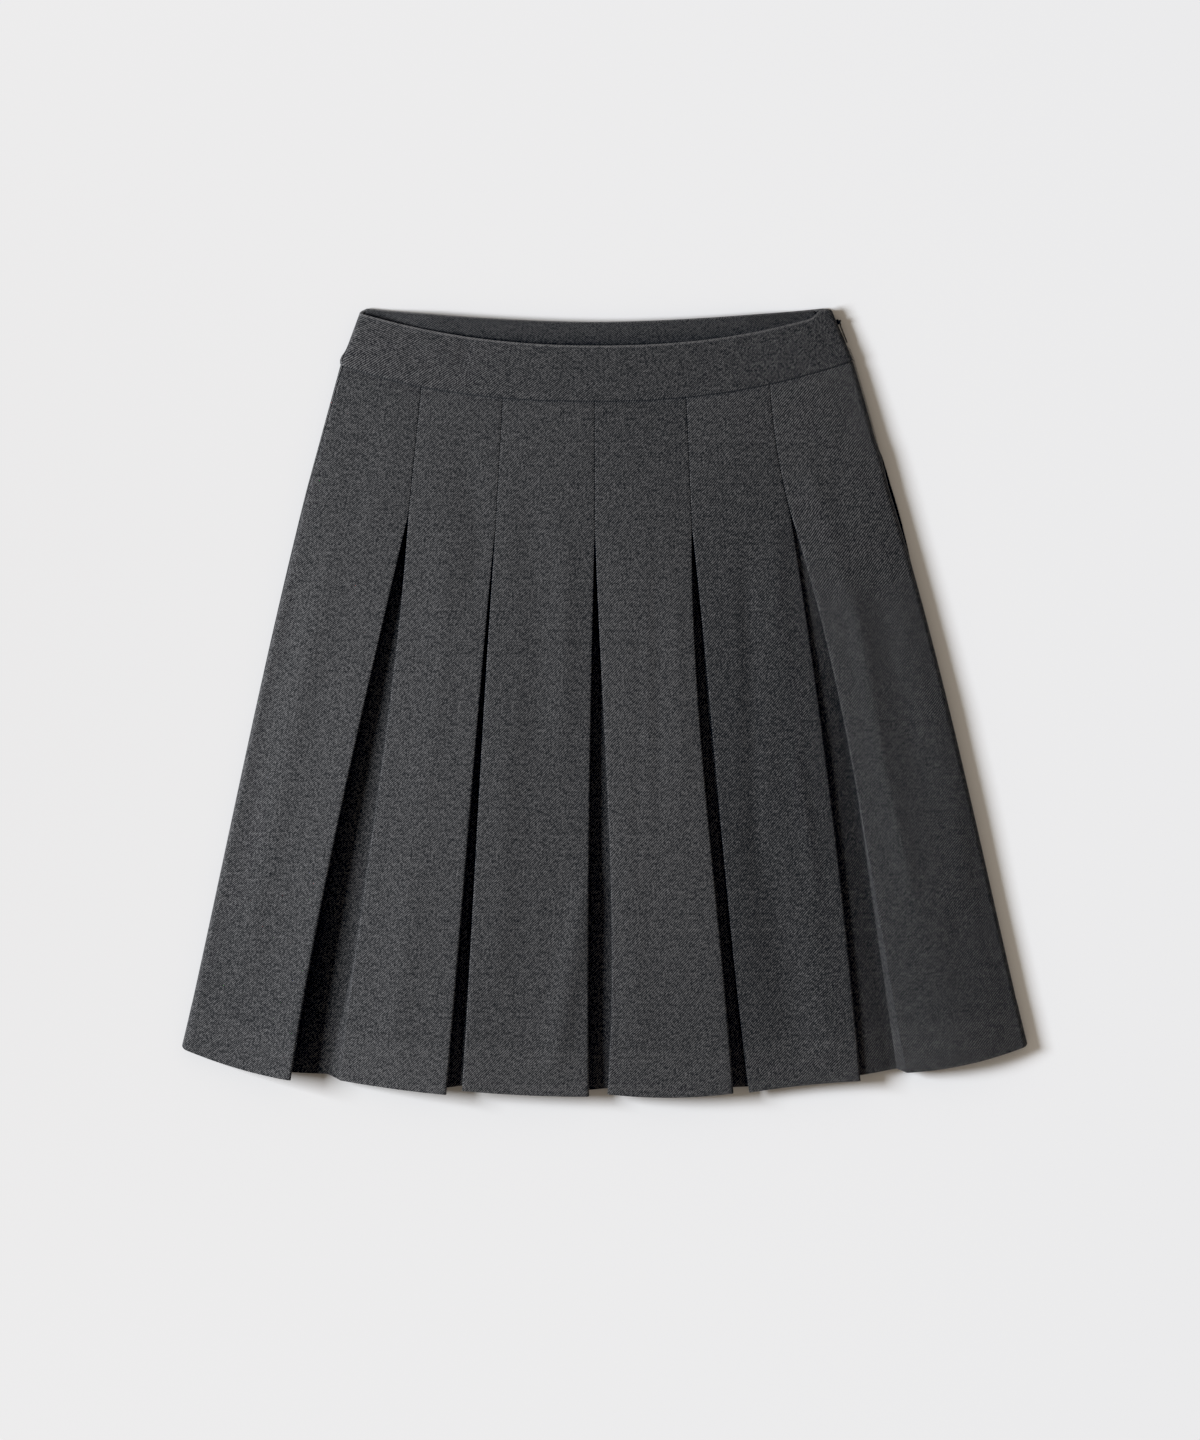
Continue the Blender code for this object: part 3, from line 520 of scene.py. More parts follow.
def cloth_sheet(name, rows, maps, wall, finish, shades=None, turn_up=None, edge=0.0, sharp=55):
    """A cloth wall through rows of points, in millimetres, with a map in metres called weave.

    shades lighten or darken each point's cloth, mostly as painted light and shade. turn_up is 1 on each point of
    the pressed turn-up, 0 elsewhere.
    """
    across = len(rows[0])
    points = [Vector(point) * MM for row in rows for point in row]
    faces = [(r * across + i, (r + 1) * across + i, (r + 1) * across + i + 1, r * across + i + 1)
             for r in range(len(rows) - 1) for i in range(across - 1)]
    mesh = bpy.data.meshes.new(name)
    mesh.from_pydata(points, [], faces)
    weave = mesh.uv_layers.new(name="weave")
    flat = [(u * MM, v * MM) for row in maps for u, v in row]
    for loop in mesh.loops:
        weave.data[loop.index].uv = flat[loop.vertex_index]
    shade = mesh.attributes.new("shade", "FLOAT", "POINT")
    obj = bpy.data.objects.new(name, mesh)
    bpy.context.scene.collection.objects.link(obj)
    mesh.materials.append(finish)
    thicken = obj.modifiers.new("wall", "SOLIDIFY")
    thicken.thickness = wall * MM
    thicken.offset = 0.0
    thicken.use_even_offset = True
    if shades:
        shade.data.foreach_set("value", [value for row in shades for value in row])
    if turn_up:
        group = obj.vertex_groups.new(name="layers")
        for i, value in enumerate(value for row in turn_up for value in row):
            group.add([i], mix(1 / HEM_LAYERS, 1.0, value), "REPLACE")
        thicken.thickness = wall * HEM_LAYERS * MM
        thicken.vertex_group = "layers"
    if edge:
        soften = obj.modifiers.new("edge", "BEVEL")
        soften.width = edge * MM
        soften.segments = 3
        soften.angle_limit = math.radians(60)
    done = bpy.data.meshes.new_from_object(obj.evaluated_get(bpy.context.evaluated_depsgraph_get()))
    obj.modifiers.clear()
    obj.data = done
    obj.data.name = name
    done.shade_smooth()
    done.set_sharp_from_angle(angle=math.radians(sharp))
    print(name, len(rows), "x", across, "points,", sum(len(p.vertices) - 2 for p in done.polygons), "triangles")
    return obj

# %% [markdown]
# ## The front
#
# Each row runs from one side seam to the other: round the side, over a panel, back under at its edge,
# across behind the pleat, and out again. Rows stand closer together where the pleats are let go and at
# the hem's turn-up. The map restarts behind each pleat, so that the twill lines follow the panel that
# shows. The wall comes from Solidify, which also thickens the turn-up.

# %% Rows of the front
PANEL_POINTS, UNDER_POINTS = 27, 9
ROWS = (spread(0, 0.012, 4) + spread(0.022, 0.168, 14) + spread(0.176, 0.24, 13) + spread(0.25, 0.926, 62)
        + [0.932, 0.936, 0.940] + spread(0.95, 0.988, 5) + [0.995, 1.0])
TURN_UP_FROM, TURN_UP_LEAD, TURN_UP_SPAN, TURN_UP_SHADE = 0.936, 0.004, 0.006, 0.05
SHADE_STATIONS = (0.1, 0.5, 0.9)  # painted light and shade: each panel is a little lighter or darker than the rest, at three heights
PAINTED_PANEL_SHADES = ((0.01, 0.015, -0.05), (0.02, 0.015, 0.01), (0.02, 0.01, 0.02), (-0.005, 0.055, 0.015),
                (0.0, -0.085, -0.045), (0.035, -0.015, -0.02))
SKIRT_LENGTH = 530  # about, from the waist seam to the hem
WELL_DEPTH, WELL_WIDE = 0.8, 3.0  # the panels dip towards the waist seam
FREE_FROM = 0.08  # creases and cockle grow to their full height by this station
MAP_STEP = 37.0  # between the maps of two neighbouring panels
ZIP_SHOW, ZIP_SHOW_FROM, ZIP_SHOW_TO = 1.1, 0.105, 0.14  # the zip's coil shows past the cloth's edge

Spot = namedtuple("Spot", "x z lift lay")  # lift: 1 behind a pleat. lay: 1 on a panel


def zip_inset(share):
    """How far the cloth beside the zip stands in from the outline."""
    return ZIP_SHOW * (1 - ease((share - ZIP_SHOW_FROM) / (ZIP_SHOW_TO - ZIP_SHOW_FROM)))


def painted_panel_shade(xs, share, x):
    """The painted light and shade of the panel at x: how much lighter or darker than the rest it is."""
    number = sum(x > edge for edge in xs[2:-1:2])
    return through(SHADE_STATIONS, PAINTED_PANEL_SHADES[number], share)


def front_spots(share):
    """Spots across the front, and for each panel the first and the middle spot of its stretch."""
    tops = [height(WAIST_LEVEL, RELEASE_LEVEL, fold.height, share) for fold in FRONT_EDGES]
    left_x, right_x = fold_x(FRONT_LEFT, share), fold_x(FRONT_RIGHT, share) - zip_inset(share)
    start = left_turn(share) + gap_angle(SIDE_GAP, CLOTH)
    side = side_turn(left_x, 1, tops[0] + CLOTH / 2, spread(start, 90, 9), CLOTH / 2)
    spots = [Spot(x, z, 0, 1) for x, z in side]
    stretches, first = [], 0
    for number in range(PLEATS + 1):
        if number:
            fold, top = FRONT_FOLDS[2 * number - 1], tops[2 * number]
            rise, tuck = top - UNDER_LEVEL, fold_tuck(fold, share)
            radius = min(height(TIGHT_RADIUS, TIGHT_RADIUS, fold.radius, share), rise / 4)
            start_x = fold_x(fold, share) + SEAM_GAP / 2 + radius + CLOTH / 2 + tuck
            out = [(start_x + x, up) for x, up in fold_profile(rise, tuck, radius)]
            start_under = spots[-1].x
            bulge = UNDER_BULGES[number - 1] * (tops[2 * number - 1] - UNDER_LEVEL)
            for across in spread(0, 1, UNDER_POINTS + 2)[1:-1]:
                z = UNDER_LEVEL + bulge * math.sin(math.pi * across)
                spots.append(Spot(mix(start_under, out[0][0], across), z, 1, 0))
            spots += [Spot(x, UNDER_LEVEL + up, 1 - up / rise, up / rise) for x, up in out]
        panel_left = spots[-1]
        middle = len(spots) + PANEL_POINTS // 2
        if number < PLEATS:
            fold, right_z = FRONT_FOLDS[2 * number], tops[2 * number + 1]
            rise, tuck = right_z - UNDER_LEVEL, fold_tuck(fold, share)
            radius = min(height(TIGHT_RADIUS, TIGHT_RADIUS, fold.radius, share), rise / 4)
            end_x = fold_x(fold, share) - SEAM_GAP / 2 - radius - CLOTH / 2
            profile = fold_profile(rise, tuck, radius)
            after = [Spot(end_x - tuck - x, UNDER_LEVEL + up, 1 - up / rise, up / rise)
                     for x, up in reversed(profile)]
        else:
            end = RIGHT_TURN + gap_angle(mix(SIDE_GAP, ZIP_GAP, share <= ZIP_END), CLOTH)
            side = side_turn(right_x, -1, tops[-1] + CLOTH / 2, spread(90, end, 10), CLOTH / 2)
            end_x, right_z = side[0]
            after = [Spot(x, z, 0, 1) for x, z in side]
        crown = height(WAIST_LEVEL + WAIST_CROWN, RELEASE_LEVEL + RELEASE_CROWN,
                       FRONT_PANELS[number].height, share)
        for across in spread(0, 1, PANEL_POINTS + 2)[1:-1]:
            z = through((0, 0.5, 1), (panel_left.z, crown, right_z), across)
            spots.append(Spot(mix(panel_left.x, end_x, across), z, 0, 1))
        stretches.append((first, middle))
        first = len(spots) + len(after) // 2
        spots += after
    return spots, stretches


def row_map(points, stretches, y_of):
    """Map of a row: along the row from the middle of each stretch, and down the skirt."""
    run = length_along(points)
    starts = [first for first, _ in stretches] + [len(points)]
    made = []
    for number, (first, middle) in enumerate(stretches):
        shift = MAP_STEP * number - run[middle]
        made += [(run[i] + shift, -y_of(i)) for i in range(first, starts[number + 1])]
    return made


def front_row(share):
    """Points, map, shades and turn-up marks of one row of the front."""
    spots, stretches = front_spots(share)
    xs = [fold_x(fold, share) for fold in FRONT_EDGES]
    well = WELL_DEPTH * math.exp(-(share * SKIRT_LENGTH / WELL_WIDE) ** 2)
    points = []
    for x, z, lift, lay in spots:
        y = level_y(FRONT_EDGES, xs, FRONT_PANELS, FRONT_SEAM, share, x) + UNDER_LIFT * lift * share
        free = lay * ease(share / FREE_FROM)
        z += free * (crease_lift(x, y, FRONT_CREASES) + cockle(x, y)) - lay * well
        points.append((x, y, z))
    turn_up = [ease((share - TURN_UP_FROM + TURN_UP_LEAD) / TURN_UP_SPAN)] * len(points)
    # each point gets its panel's painted light and shade, and the turn-up is a little paler
    shades = [painted_panel_shade(xs, share, x) + TURN_UP_SHADE * turned for (x, y, z), turned in zip(points, turn_up)]
    return points, row_map(points, stretches, lambda i: points[i][1]), shades, turn_up


front_rows, front_maps, front_shades, front_turn_up = zip(*[front_row(share) for share in ROWS])
front = cloth_sheet("front_cloth", front_rows, front_maps, CLOTH, cloth, front_shades, front_turn_up)
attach(front, "skirt")
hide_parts("skirt_front")

# %% [markdown]
# ## The back
#
# The back lies on the floor with its pleats pressed shut, and nothing but its sides and its hem shows
# from above. Its pleats do follow one rule, so no table is needed: each centre line runs straight from
# the hip to the hem, and its two edges part by the same few millimetres. Its rounded sides wrap up to
# meet the front at the side seams, and beside the zip it stands out a little past the front.

# %% Rows of the back
BACK_CENTRES = ((-137.0, -147.0, -218.0), (-77.0, -82.0, -112.0), (0.0, 0.0, 0.0),
                (77.0, 82.0, 112.0), (137.0, 147.0, 218.0))
BACK_OPENING, BACK_HEM_Y, BACK_RADIUS = 3.0, -284.0, 0.75
BACK_ROWS = spread(0, 0.18, 10) + spread(0.2, 0.3, 8) + spread(0.32, 0.926, 22) + [0.932, 0.94, 0.97, 1.0]
NO_SAG = (Panel(0.0, 0.0),) * (PLEATS + 1)


def back_edges():
    """The back's sides and folds, in the same form as the front's."""
    edges = [FRONT_LEFT]
    for waist, release, hem in BACK_CENTRES:
        rise = (FRONT_LEFT.hem_y - BACK_HEM_Y) * (hem / FRONT_LEFT.hem) ** 2
        for side in (-1, 1):
            downs = [(station - RELEASE) / (HEM - RELEASE) for station in STATIONS]
            xs = [mix(release, hem, down) + side * BACK_OPENING / 2 * down for down in downs]
            edges.append(Fold(waist, *xs, BACK_HEM_Y + rise, 28, 31, TUCK_HEM, BACK_RADIUS, 0.0))
    return (*edges, FRONT_RIGHT)


BACK_EDGES = back_edges()


def peek(share):
    """How far the back stands out past the front, beside the zip."""
    return PEEK * max(0.0, 1 - ((share - PEEK_STATION) / PEEK_SPAN) ** 2)


def back_row(share):
    """Points and map of one row of the back, outer face down."""
    left_x = fold_x(FRONT_LEFT, share)
    right_x = fold_x(FRONT_RIGHT, share) + peek(share) - zip_inset(share)
    top = height(WAIST_LEVEL, RELEASE_LEVEL, FRONT_LEFT.height, share) + CLOTH / 2
    end = left_turn(share) - gap_angle(SIDE_GAP, CLOTH)
    side = side_turn(left_x, 1, top, spread(end, -90, 13), CLOTH / 2)
    spots = [Spot(x, z, 0, 1) for x, z in side]
    reach = BACK_RADIUS + CLOTH / 2 + SEAM_GAP / 2
    stretches, first = [], 0
    for number in range(PLEATS + 1):
        middle = len(spots) + 4
        if number < PLEATS:
            left, right = BACK_EDGES[2 * number + 1: 2 * number + 3]
            tuck = fold_tuck(left, share)
            profile = fold_profile(BACK_RISE, tuck, BACK_RADIUS, 4, 2)
            into = [(fold_x(left, share) - reach - tuck - x, up) for x, up in reversed(profile)]
            out = [(fold_x(right, share) + reach + tuck + x, up) for x, up in profile]
            after = [Spot(x, BACK_LEVEL + BACK_RISE - up, 1 - up / BACK_RISE, 0) for x, up in into]
            behind = spread(into[-1][0], out[0][0], 5)[1:-1]
            after += [Spot(x, BACK_LEVEL + BACK_RISE, 1, 0) for x in behind]
            after += [Spot(x, BACK_LEVEL + BACK_RISE - up, 1 - up / BACK_RISE, 0) for x, up in out]
        else:
            end = RIGHT_TURN - gap_angle(mix(SIDE_GAP, ZIP_GAP, share <= ZIP_END), CLOTH)
            after = [Spot(x, z, 0, 1) for x, z in side_turn(right_x, -1, top, spread(-90, end, 9), CLOTH / 2)]
        spots += [Spot(x, BACK_LEVEL, 0, 1) for x in spread(spots[-1].x, after[0].x, 10)[1:-1]]
        stretches.append((first, middle))
        first = len(spots) + len(after) // 4
        spots += after
    xs = [fold_x(fold, share) for fold in BACK_EDGES]
    points = []
    for x, z, lift, lay in spots:
        y = level_y(BACK_EDGES, xs, NO_SAG, BACK_SEAM, share, x) + UNDER_LIFT * lift * share
        points.append((x, y, z))
    return points, row_map(points, stretches, lambda i: points[i][1])


back_rows, back_maps = zip(*[back_row(share) for share in BACK_ROWS])
back = cloth_sheet("back_cloth", back_rows, back_maps, CLOTH, cloth)
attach(back, "skirt")
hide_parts("skirt_back")

# %% [markdown]
# ## The waistband
#
# A shaped waistband is cut on a curve, stiffened, and turned at its top edge, so it is thicker and
# smoother than the skirt. Its front edge dips, so that the facing inside the back shows over it. The
# rows run along the band, from the waist seam to the top edge. Solidify gives the wall, and a small
# bevel rolls the pressed edges.

# %% Rows of the band
BAND_CREASES = (
    Crease(((-112, 262), (-98, 257)), 9, -0.7),
    Crease(((-150, 268), (-140, 250)), 8, -0.35),
    Crease(((-60, 250), (-20, 246), (30, 247)), 9, 0.4),
    Crease(((60, 258), (95, 262), (130, 270)), 8, -0.35),
    Crease(((140, 262), (165, 272)), 8, 0.4),
)
BAND_EDGE, FACING_EDGE = 0.9, 0.3  # how far the pressed edges are rolled
BAND_HEIGHT, HALF_BAND = 42.0, 190  # about, for the band's map and its shades
BAND_COCKLE = 0.6  # how much of the cloth's unevenness the stiffened band shows
CORNER_FROM, CORNER_DROP = 8.5, 5.5  # the band's top corner by the zip is rounded off
LEFT_CORNER = 6.0  # and the back's on the left, less
FLICK_FROM, FLICK_SPAN, FLICK_RISE = 153.5, 9.0, 4.5  # its front edge rises to the corner by the zip
BULGE_AT, BULGE_SPAN, BULGE = 0.1, 0.09, 1.8  # its left end stands out just above the waist seam
BACK_CURL, CURL_FROM, CURL_SPAN = 4.5, 0.45, 0.5  # the back's top edge curls up
CURL_LEFT, CURL_RIGHT, CURL_FADE = 10, 20, 50  # away from its ends
TAPE_REACH, FACING_CLEAR = 13.0, 1.5  # how far in the zip's tape reaches, and the gap to the facing
FACING_LEVEL = BAND + SEAM_GAP + CLOTH / 2
FACING_LIFT, FACING_COCKLE, FACING_SHIFT = 0.25, 0.5, 90  # it lies loose, with waves of its own


def curl(share, x, left_x, right_x):
    """How high the back of the band, and the facing on it, curl up at x."""
    near_end = min(x - left_x - CURL_LEFT, right_x - CURL_RIGHT - x)
    return BACK_CURL * ease((share - CURL_FROM) / CURL_SPAN) * ease(near_end / CURL_FADE)


def band_turn(share):
    """Where the band's seam runs on the rounded side: down from the waist seam to under the edge."""
    return mix(LEFT_TURN, BAND_TURN, ease((share - BAND_TURN_FROM) / BAND_TURN_SPAN))


def band_ends(share):
    """x of the band's left and right ends, a share of the way up."""
    bulge = BULGE * math.exp(-((share - BULGE_AT) / BULGE_SPAN) ** 2)
    return (mix(FRONT_SEAM.left_x, FRONT_TOP.left_x, share) - bulge,
            mix(FRONT_SEAM.right_x, FRONT_TOP.right_x, share))


def band_level(share):
    """Height of the band's outer face."""
    return mix(BAND_SEAM_LEVEL, BAND_EDGE_LEVEL, share)


def band_points(flat, seam, top, share):
    """Points of one row of a band, a share of the way up from the waist seam."""
    left_x, right_x = band_ends(share)
    made = []
    for x, z in flat:
        across = (x - left_x) / (right_x - left_x)
        low = dipped(seam, mix(seam.left_x, seam.right_x, across)) + WAIST_GAP / 2
        edge_x = mix(top.left_x, top.right_x, across)
        high = dipped(top, edge_x)
        if top is FRONT_TOP:
            high += FLICK_RISE * ease((edge_x - FLICK_FROM) / FLICK_SPAN)
        else:
            high -= LEFT_CORNER * max(0.0, 1 - (edge_x - top.left_x) / LEFT_CORNER) ** 2
        high -= CORNER_DROP * max(0.0, 1 - (top.right_x - edge_x) / CORNER_FROM) ** 2
        made.append((x, mix(low, high, share), z))
    return made


def band_map(rows, shares):
    """Map of a band piece: along each row, and across the band."""
    return [[(x, -share * BAND_HEIGHT) for x in length_along(row)] for row, share in zip(rows, shares)]


def front_band_row(share):
    """One row of the band's front, from the left seam over the top to the zip."""
    left_x, right_x = band_ends(share)
    right_x -= ZIP_SHOW
    level = band_level(share)
    left = side_turn(left_x, 1, level, spread(band_turn(share) + gap_angle(SIDE_GAP, BAND), 90, 12), BAND / 2)
    right = side_turn(right_x, -1, level, spread(90, RIGHT_TURN + gap_angle(ZIP_GAP, BAND), 10), BAND / 2)
    inner = [(mix(left[-1][0], right[0][0], across),
              level - BAND / 2 + BAND_CROWN * (1 - (2 * across - 1) ** 2))
             for across in spread(0, 1, 121)[1:-1]]
    points = band_points(left + inner + right, FRONT_SEAM, FRONT_TOP, share)
    return [(x, y, z + crease_lift(x, y, BAND_CREASES) + BAND_COCKLE * cockle(x, y)) for x, y, z in points]


def back_band_row(share):
    """One row of the band's back, from the left seam underneath to the zip."""
    left_x, right_x = band_ends(share)
    right_x -= ZIP_SHOW
    level = band_level(share)
    left = side_turn(left_x, 1, level, spread(band_turn(share) - gap_angle(SIDE_GAP, BAND), -90, 12), BAND / 2)
    right = side_turn(right_x, -1, level, spread(-90, RIGHT_TURN - gap_angle(ZIP_GAP, BAND), 9), BAND / 2)
    inner = [(x, BAND / 2 + curl(share, x, left_x, right_x)) for x in spread(left[-1][0], right[0][0], 61)[1:-1]]
    return band_points(left + inner + right, BACK_SEAM, BACK_TOP, share)


def facing_row(share):
    """One row of the facing, on the back's inner face."""
    left_x, right_x = band_ends(share)
    flat = [(x, FACING_LEVEL + curl(share, x, left_x, right_x))
            for x in spread(left_x + SIDE_DEPTH, right_x - ZIP_SHOW - TAPE_REACH - FACING_CLEAR, 90)]
    points = band_points(flat, BACK_SEAM, BACK_TOP, share)
    return [(x, y, z + FACING_LIFT + FACING_COCKLE * cockle(x, y + FACING_SHIFT)) for x, y, z in points]


# %% Band pieces
# painted light: the band is paler towards its left end, the lamp's side; painted highlight: a pale line along
# its top edge
BAND_PAINTED_LIGHT_LEFT, BAND_PAINTED_LIGHT_RIGHT, BAND_PAINTED_LIGHT_END = 0.005, -0.03, 0.03
PAINTED_EDGE_HIGHLIGHT, PAINTED_EDGE_HIGHLIGHT_FROM = 0.4, 0.96
# painted shade on the facing: darker low down, under the front's edge, paler towards its top edge
FACING_PAINTED_SHADE_LOW, FACING_PAINTED_SHADE_HIGH, FACING_PAINTED_SHADE_ACROSS = -0.05, 0.2, 0.03
FACING_PAINTED_SHADE_FROM, FACING_PAINTED_SHADE_SPAN = 0.5, 0.4


def band_painted_light(share, across):
    """Painted light: the band is paler towards its left end, where the lamp is, and a painted highlight runs
    along its top edge.
    """
    along = mix(BAND_PAINTED_LIGHT_LEFT, BAND_PAINTED_LIGHT_RIGHT, (across + 1) / 2) + BAND_PAINTED_LIGHT_END * ease(-across)
    return along + PAINTED_EDGE_HIGHLIGHT * (share > PAINTED_EDGE_HIGHLIGHT_FROM)


def facing_painted_shade(share, across):
    """Painted shade: the facing is darker low down, under the front's edge, and paler towards its top edge and
    to the right.
    """
    up = ease((share - FACING_PAINTED_SHADE_FROM) / FACING_PAINTED_SHADE_SPAN)
    return mix(FACING_PAINTED_SHADE_LOW, FACING_PAINTED_SHADE_HIGH, up) + FACING_PAINTED_SHADE_ACROSS * across


BAND_SHARES = [0.0, 0.03, 0.07] + spread(0.14, 0.9, 9) + [0.95, 0.975, 1.0]
Piece = namedtuple("Piece", "name node row shade shares wall edge finish rests_on")
BAND_PIECES = (
    Piece("waistband_front_cloth", "waistband_front", front_band_row, band_painted_light, BAND_SHARES, BAND, BAND_EDGE,
          band_cloth, "waistband_back"),
    Piece("waistband_back_cloth", "waistband_back", back_band_row, band_painted_light, BAND_SHARES, BAND, BAND_EDGE,
          band_cloth, "floor"),
    Piece("waistband_facing_cloth", "waistband_facing", facing_row, facing_painted_shade, spread(0.02, 0.97, 9), CLOTH,
          FACING_EDGE, facing_cloth, "waistband_back"),
)
for piece in BAND_PIECES:
    rows = [piece.row(share) for share in piece.shares]
    shades = [[piece.shade(share, x / HALF_BAND) for x, y, z in row] for row, share in zip(rows, piece.shares)]
    made = cloth_sheet(piece.name, rows, band_map(rows, piece.shares), piece.wall, piece.finish,
                       shades, edge=piece.edge, sharp=70)
    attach(made, "skirt")
    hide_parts(piece.node)

# %% [markdown]
# ## Stitches and the zip's coil
#
# A line of stitches, a hem's pricks and a zip's coil are all one small shape repeated along a path, at
# one spacing. Laying hundreds by hand would be slow, and an array on a curve bends its copies. One
# Geometry Nodes tree walks the path instead: it sets points at the spacing, turns the shape to face
# along the path, and shifts each one a little, from a fixed seed.

# %% A tree that repeats a shape along a path
def repeat_tree(name, shape):
    """shape(tree, inputs) makes the shape that is repeated, with its length along Z."""
    tree = bpy.data.node_groups.new(name, "GeometryNodeTree")
    face = tree.interface
    face.new_socket(name="Geometry", in_out="INPUT", socket_type="NodeSocketGeometry")
    for label in ("Spacing", "Length", "Thickness", "Wander"):
        face.new_socket(name=label, in_out="INPUT", socket_type="NodeSocketFloat")
    face.new_socket(name="Seed", in_out="INPUT", socket_type="NodeSocketInt")
    face.new_socket(name="Material", in_out="INPUT", socket_type="NodeSocketMaterial")
    face.new_socket(name="Geometry", in_out="OUTPUT", socket_type="NodeSocketGeometry")
    given = tree.nodes.new("NodeGroupInput").outputs
    walk = add(tree, "GeometryNodeResampleCurve", {"Curve": given["Geometry"], "Length": given["Spacing"]},
               mode="LENGTH")
    tangent = tree.nodes.new("GeometryNodeInputTangent").outputs[0]
    facing = add(tree, "FunctionNodeAlignRotationToVector", {"Vector": tangent}, axis="Z").outputs[0]
    stray = add(tree, "ShaderNodeMath", {0: given["Wander"], 1: -1.0}, operation="MULTIPLY").outputs[0]
    wander = add(tree, "FunctionNodeRandomValue",
                 {"Min": stray, "Max": given["Wander"], "Seed": given["Seed"]},
                 data_type="FLOAT_VECTOR").outputs[0]
    copies = add(tree, "GeometryNodeInstanceOnPoints",
                 {"Points": walk.outputs[0], "Instance": shape(tree, given), "Rotation": facing})
    moved = add(tree, "GeometryNodeTranslateInstances", {"Instances": copies.outputs[0], "Translation": wander})
    real = add(tree, "GeometryNodeRealizeInstances", {"Geometry": moved.outputs[0]})
    smooth = add(tree, "GeometryNodeSetShadeSmooth", {"Geometry": real.outputs[0]})
    finish = add(tree, "GeometryNodeSetMaterial",
                 {"Geometry": smooth.outputs[0], "Material": given["Material"]})
    tree.links.new(finish.outputs[0], tree.nodes.new("NodeGroupOutput").inputs[0])
    return tree


def stitch_shape(tree, given):
    """A thread that dips into the cloth at both ends: a long thin ball."""
    ball = add(tree, "GeometryNodeMeshUVSphere", {"Segments": 8, "Rings": 6, "Radius": 0.5})
    size = add(tree, "ShaderNodeCombineXYZ", {0: given["Thickness"], 1: given["Thickness"], 2: given["Length"]})
    return add(tree, "GeometryNodeTransform", {"Geometry": ball.outputs[0], "Scale": size.outputs[0]}).outputs[0]


def coil_shape(tree, given):
    """One turn of a zip's coil: a ring round the path."""
    ring = add(tree, "GeometryNodeCurvePrimitiveCircle", {"Resolution": 12, "Radius": given["Length"]})
    wire = add(tree, "GeometryNodeCurvePrimitiveCircle", {"Resolution": 6, "Radius": given["Thickness"]})
    return add(tree, "GeometryNodeCurveToMesh",
               {"Curve": ring.outputs[0], "Profile Curve": wire.outputs[0]}).outputs[0]


STITCHES = repeat_tree("stitches along a path", stitch_shape)
COIL = repeat_tree("coil along a path", coil_shape)


def along_path(name, tree, path, spacing, length, thickness, finish, slot, wander=0.0, seed=1):
    """Runs a tree along a path of points in millimetres, and keeps the result as a plain mesh."""
    curve = bpy.data.curves.new(name, "CURVE")
    curve.dimensions = "3D"
    line = curve.splines.new("POLY")
    line.points.add(len(path) - 1)
    for point, place in zip(line.points, path):
        point.co = (*[c * MM for c in place], 1.0)
    guide = bpy.data.objects.new(name + "_path", curve)
    bpy.context.scene.collection.objects.link(guide)
    repeat = guide.modifiers.new("repeat", "NODES")
    repeat.node_group = tree
    sizes = {"Spacing": spacing * MM, "Length": length * MM, "Thickness": thickness * MM, "Wander": wander * MM,
             "Seed": seed, "Material": finish}
    for item in tree.interface.items_tree:
        if item.in_out == "INPUT" and item.name in sizes:
            repeat[item.identifier] = sizes[item.name]
    bpy.context.view_layer.update()
    mesh = bpy.data.meshes.new_from_object(guide.evaluated_get(bpy.context.evaluated_depsgraph_get()))
    bpy.data.objects.remove(guide)
    made = bpy.data.objects.new(name, mesh)
    bpy.context.scene.collection.objects.link(made)
    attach(made, "skirt")
    print(name, len(mesh.polygons), "faces")


# %% Stitches
EDGE_STITCH = dict(spacing=3.0, length=2.3, thickness=0.42, finish=thread, slot="waistband", wander=0.06)
STITCH_DOWN, FACING_LOWER = 0.94, 0.03  # shares up the band: its edge's stitches, and the facing's below
SEAM_SUNK = 0.5  # the waist seam's thread, black and thick to paint the groove's shadow, lies this far down in it
EDGE_UPPER, SEAM_UPPER = slice(11, -8), slice(8, -6)  # the points of a row that face up
PRICK_LIFT = 0.68  # share of the cloth's wall


def lifted(points, by):
    """The same points, higher."""
    return [(x, y, z + by) for x, y, z in points]


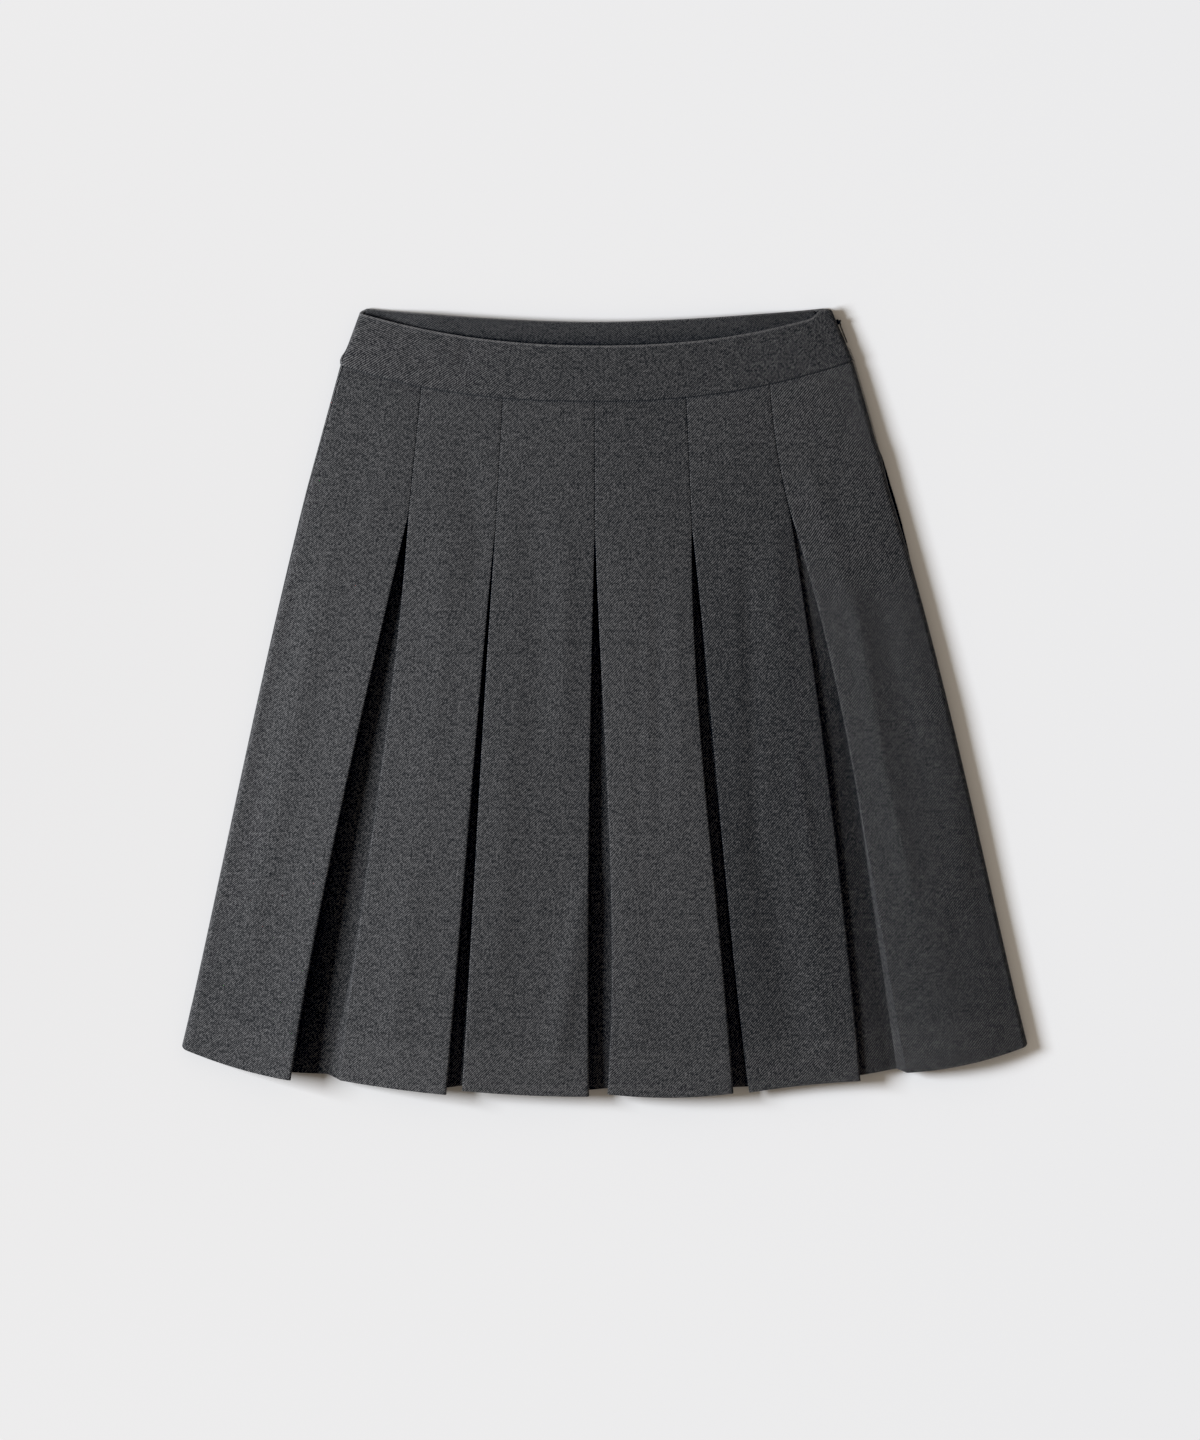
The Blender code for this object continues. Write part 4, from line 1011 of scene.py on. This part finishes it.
band_edge = lifted(front_band_row(STITCH_DOWN)[EDGE_UPPER], BAND / 2)
facing_edge = lifted(facing_row(STITCH_DOWN - FACING_LOWER), CLOTH / 2)
# a real seam's thread, made black, thick and close-set: painted shadow that darkens the waist seam's groove
waist_seam = [(x, y - WAIST_GAP / 2, z + BAND / 2 - SEAM_SUNK)
              for x, y, z in front_band_row(0.0)[SEAM_UPPER]]
along_path("waistband_edge_stitches", STITCHES, band_edge, seed=3, **EDGE_STITCH)
along_path("facing_edge_stitches", STITCHES, facing_edge, seed=4, **EDGE_STITCH)
along_path("waist_seam_stitches", STITCHES, waist_seam, spacing=2.0, length=2.3, thickness=0.75,
           finish=coil_nylon, slot="waistband", wander=0.05, seed=5)
hem_stretches = front_spots(TURN_UP_FROM)[1]
hem_points = front_row(TURN_UP_FROM)[0]
for number, (_, middle) in enumerate(hem_stretches):
    reach = PANEL_POINTS // 2
    path = lifted(hem_points[middle - reach: middle + reach + 1], CLOTH * PRICK_LIFT)
    along_path(f"hem_pricks_{number + 1}", STITCHES, path, spacing=8.0, length=1.3, thickness=0.3,
               finish=thread, slot="twill", wander=0.25, seed=10 + number)

# %% Zip
BAND_STEPS, ZIP_STEPS = 10, 60
COIL_RADIUS, COIL_WIRE, COIL_PITCH = 0.62, 0.2, 1.05
COIL_FROM = 0.5  # share of the band's height at which the coil starts, below the slider
BELOW_WAIST, ABOVE_STOP = 0.005, 0.01  # where its lower part starts and ends, as shares of the skirt
COIL_SUNK, SUNK_FROM, SUNK_SPAN = 1.3, 0.2, 0.08  # up the band it lies deeper, clear of the pull


def zip_line(out):
    """The line of the coil, out from the cloth's widest line, from below the slider to its stop."""
    band = [mix(COIL_FROM, 0.0, s / BAND_STEPS) for s in range(BAND_STEPS + 1)]
    path = [(band_ends(s)[1] + out - COIL_SUNK * ease((s - SUNK_FROM) / SUNK_SPAN),
             mix(BACK_SEAM.right, BACK_TOP.right, s), SIDE_MIDDLE) for s in band]
    for share in spread(BELOW_WAIST, ZIP_END - ABOVE_STOP, ZIP_STEPS):
        y = mix(FRONT_SEAM.right, FRONT_RIGHT.hem_y, share)
        path.append((fold_x(FRONT_RIGHT, share) + out, y, SIDE_MIDDLE))
    return path


along_path("zip_coil", COIL, zip_line(-COIL_RADIUS - COIL_WIRE), spacing=COIL_PITCH, length=COIL_RADIUS,
           thickness=COIL_WIRE, finish=coil_nylon, slot="zip_tape")
for node, finish in (("zip_tape", tape_weave), ("zip_slider", lacquer), ("zip_pull", lacquer)):
    held = bpy.data.objects[node]
    held.data.materials.clear()
    held.data.materials.append(finish)
    print(node, "keeps its shape, with", finish.name)

# %% [markdown]
# ## Sizes
#
# Each shell is drawn over its solid, so the two boxes should be close. The shells have to stay in
# the space of their solids. Both are printed.

# %% Print both boxes
shown_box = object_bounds()
for label, box in (("frame", cad_box), ("shown", shown_box)):
    print(label, [round(a / MM, 1) for corner in box for a in corner], "mm")
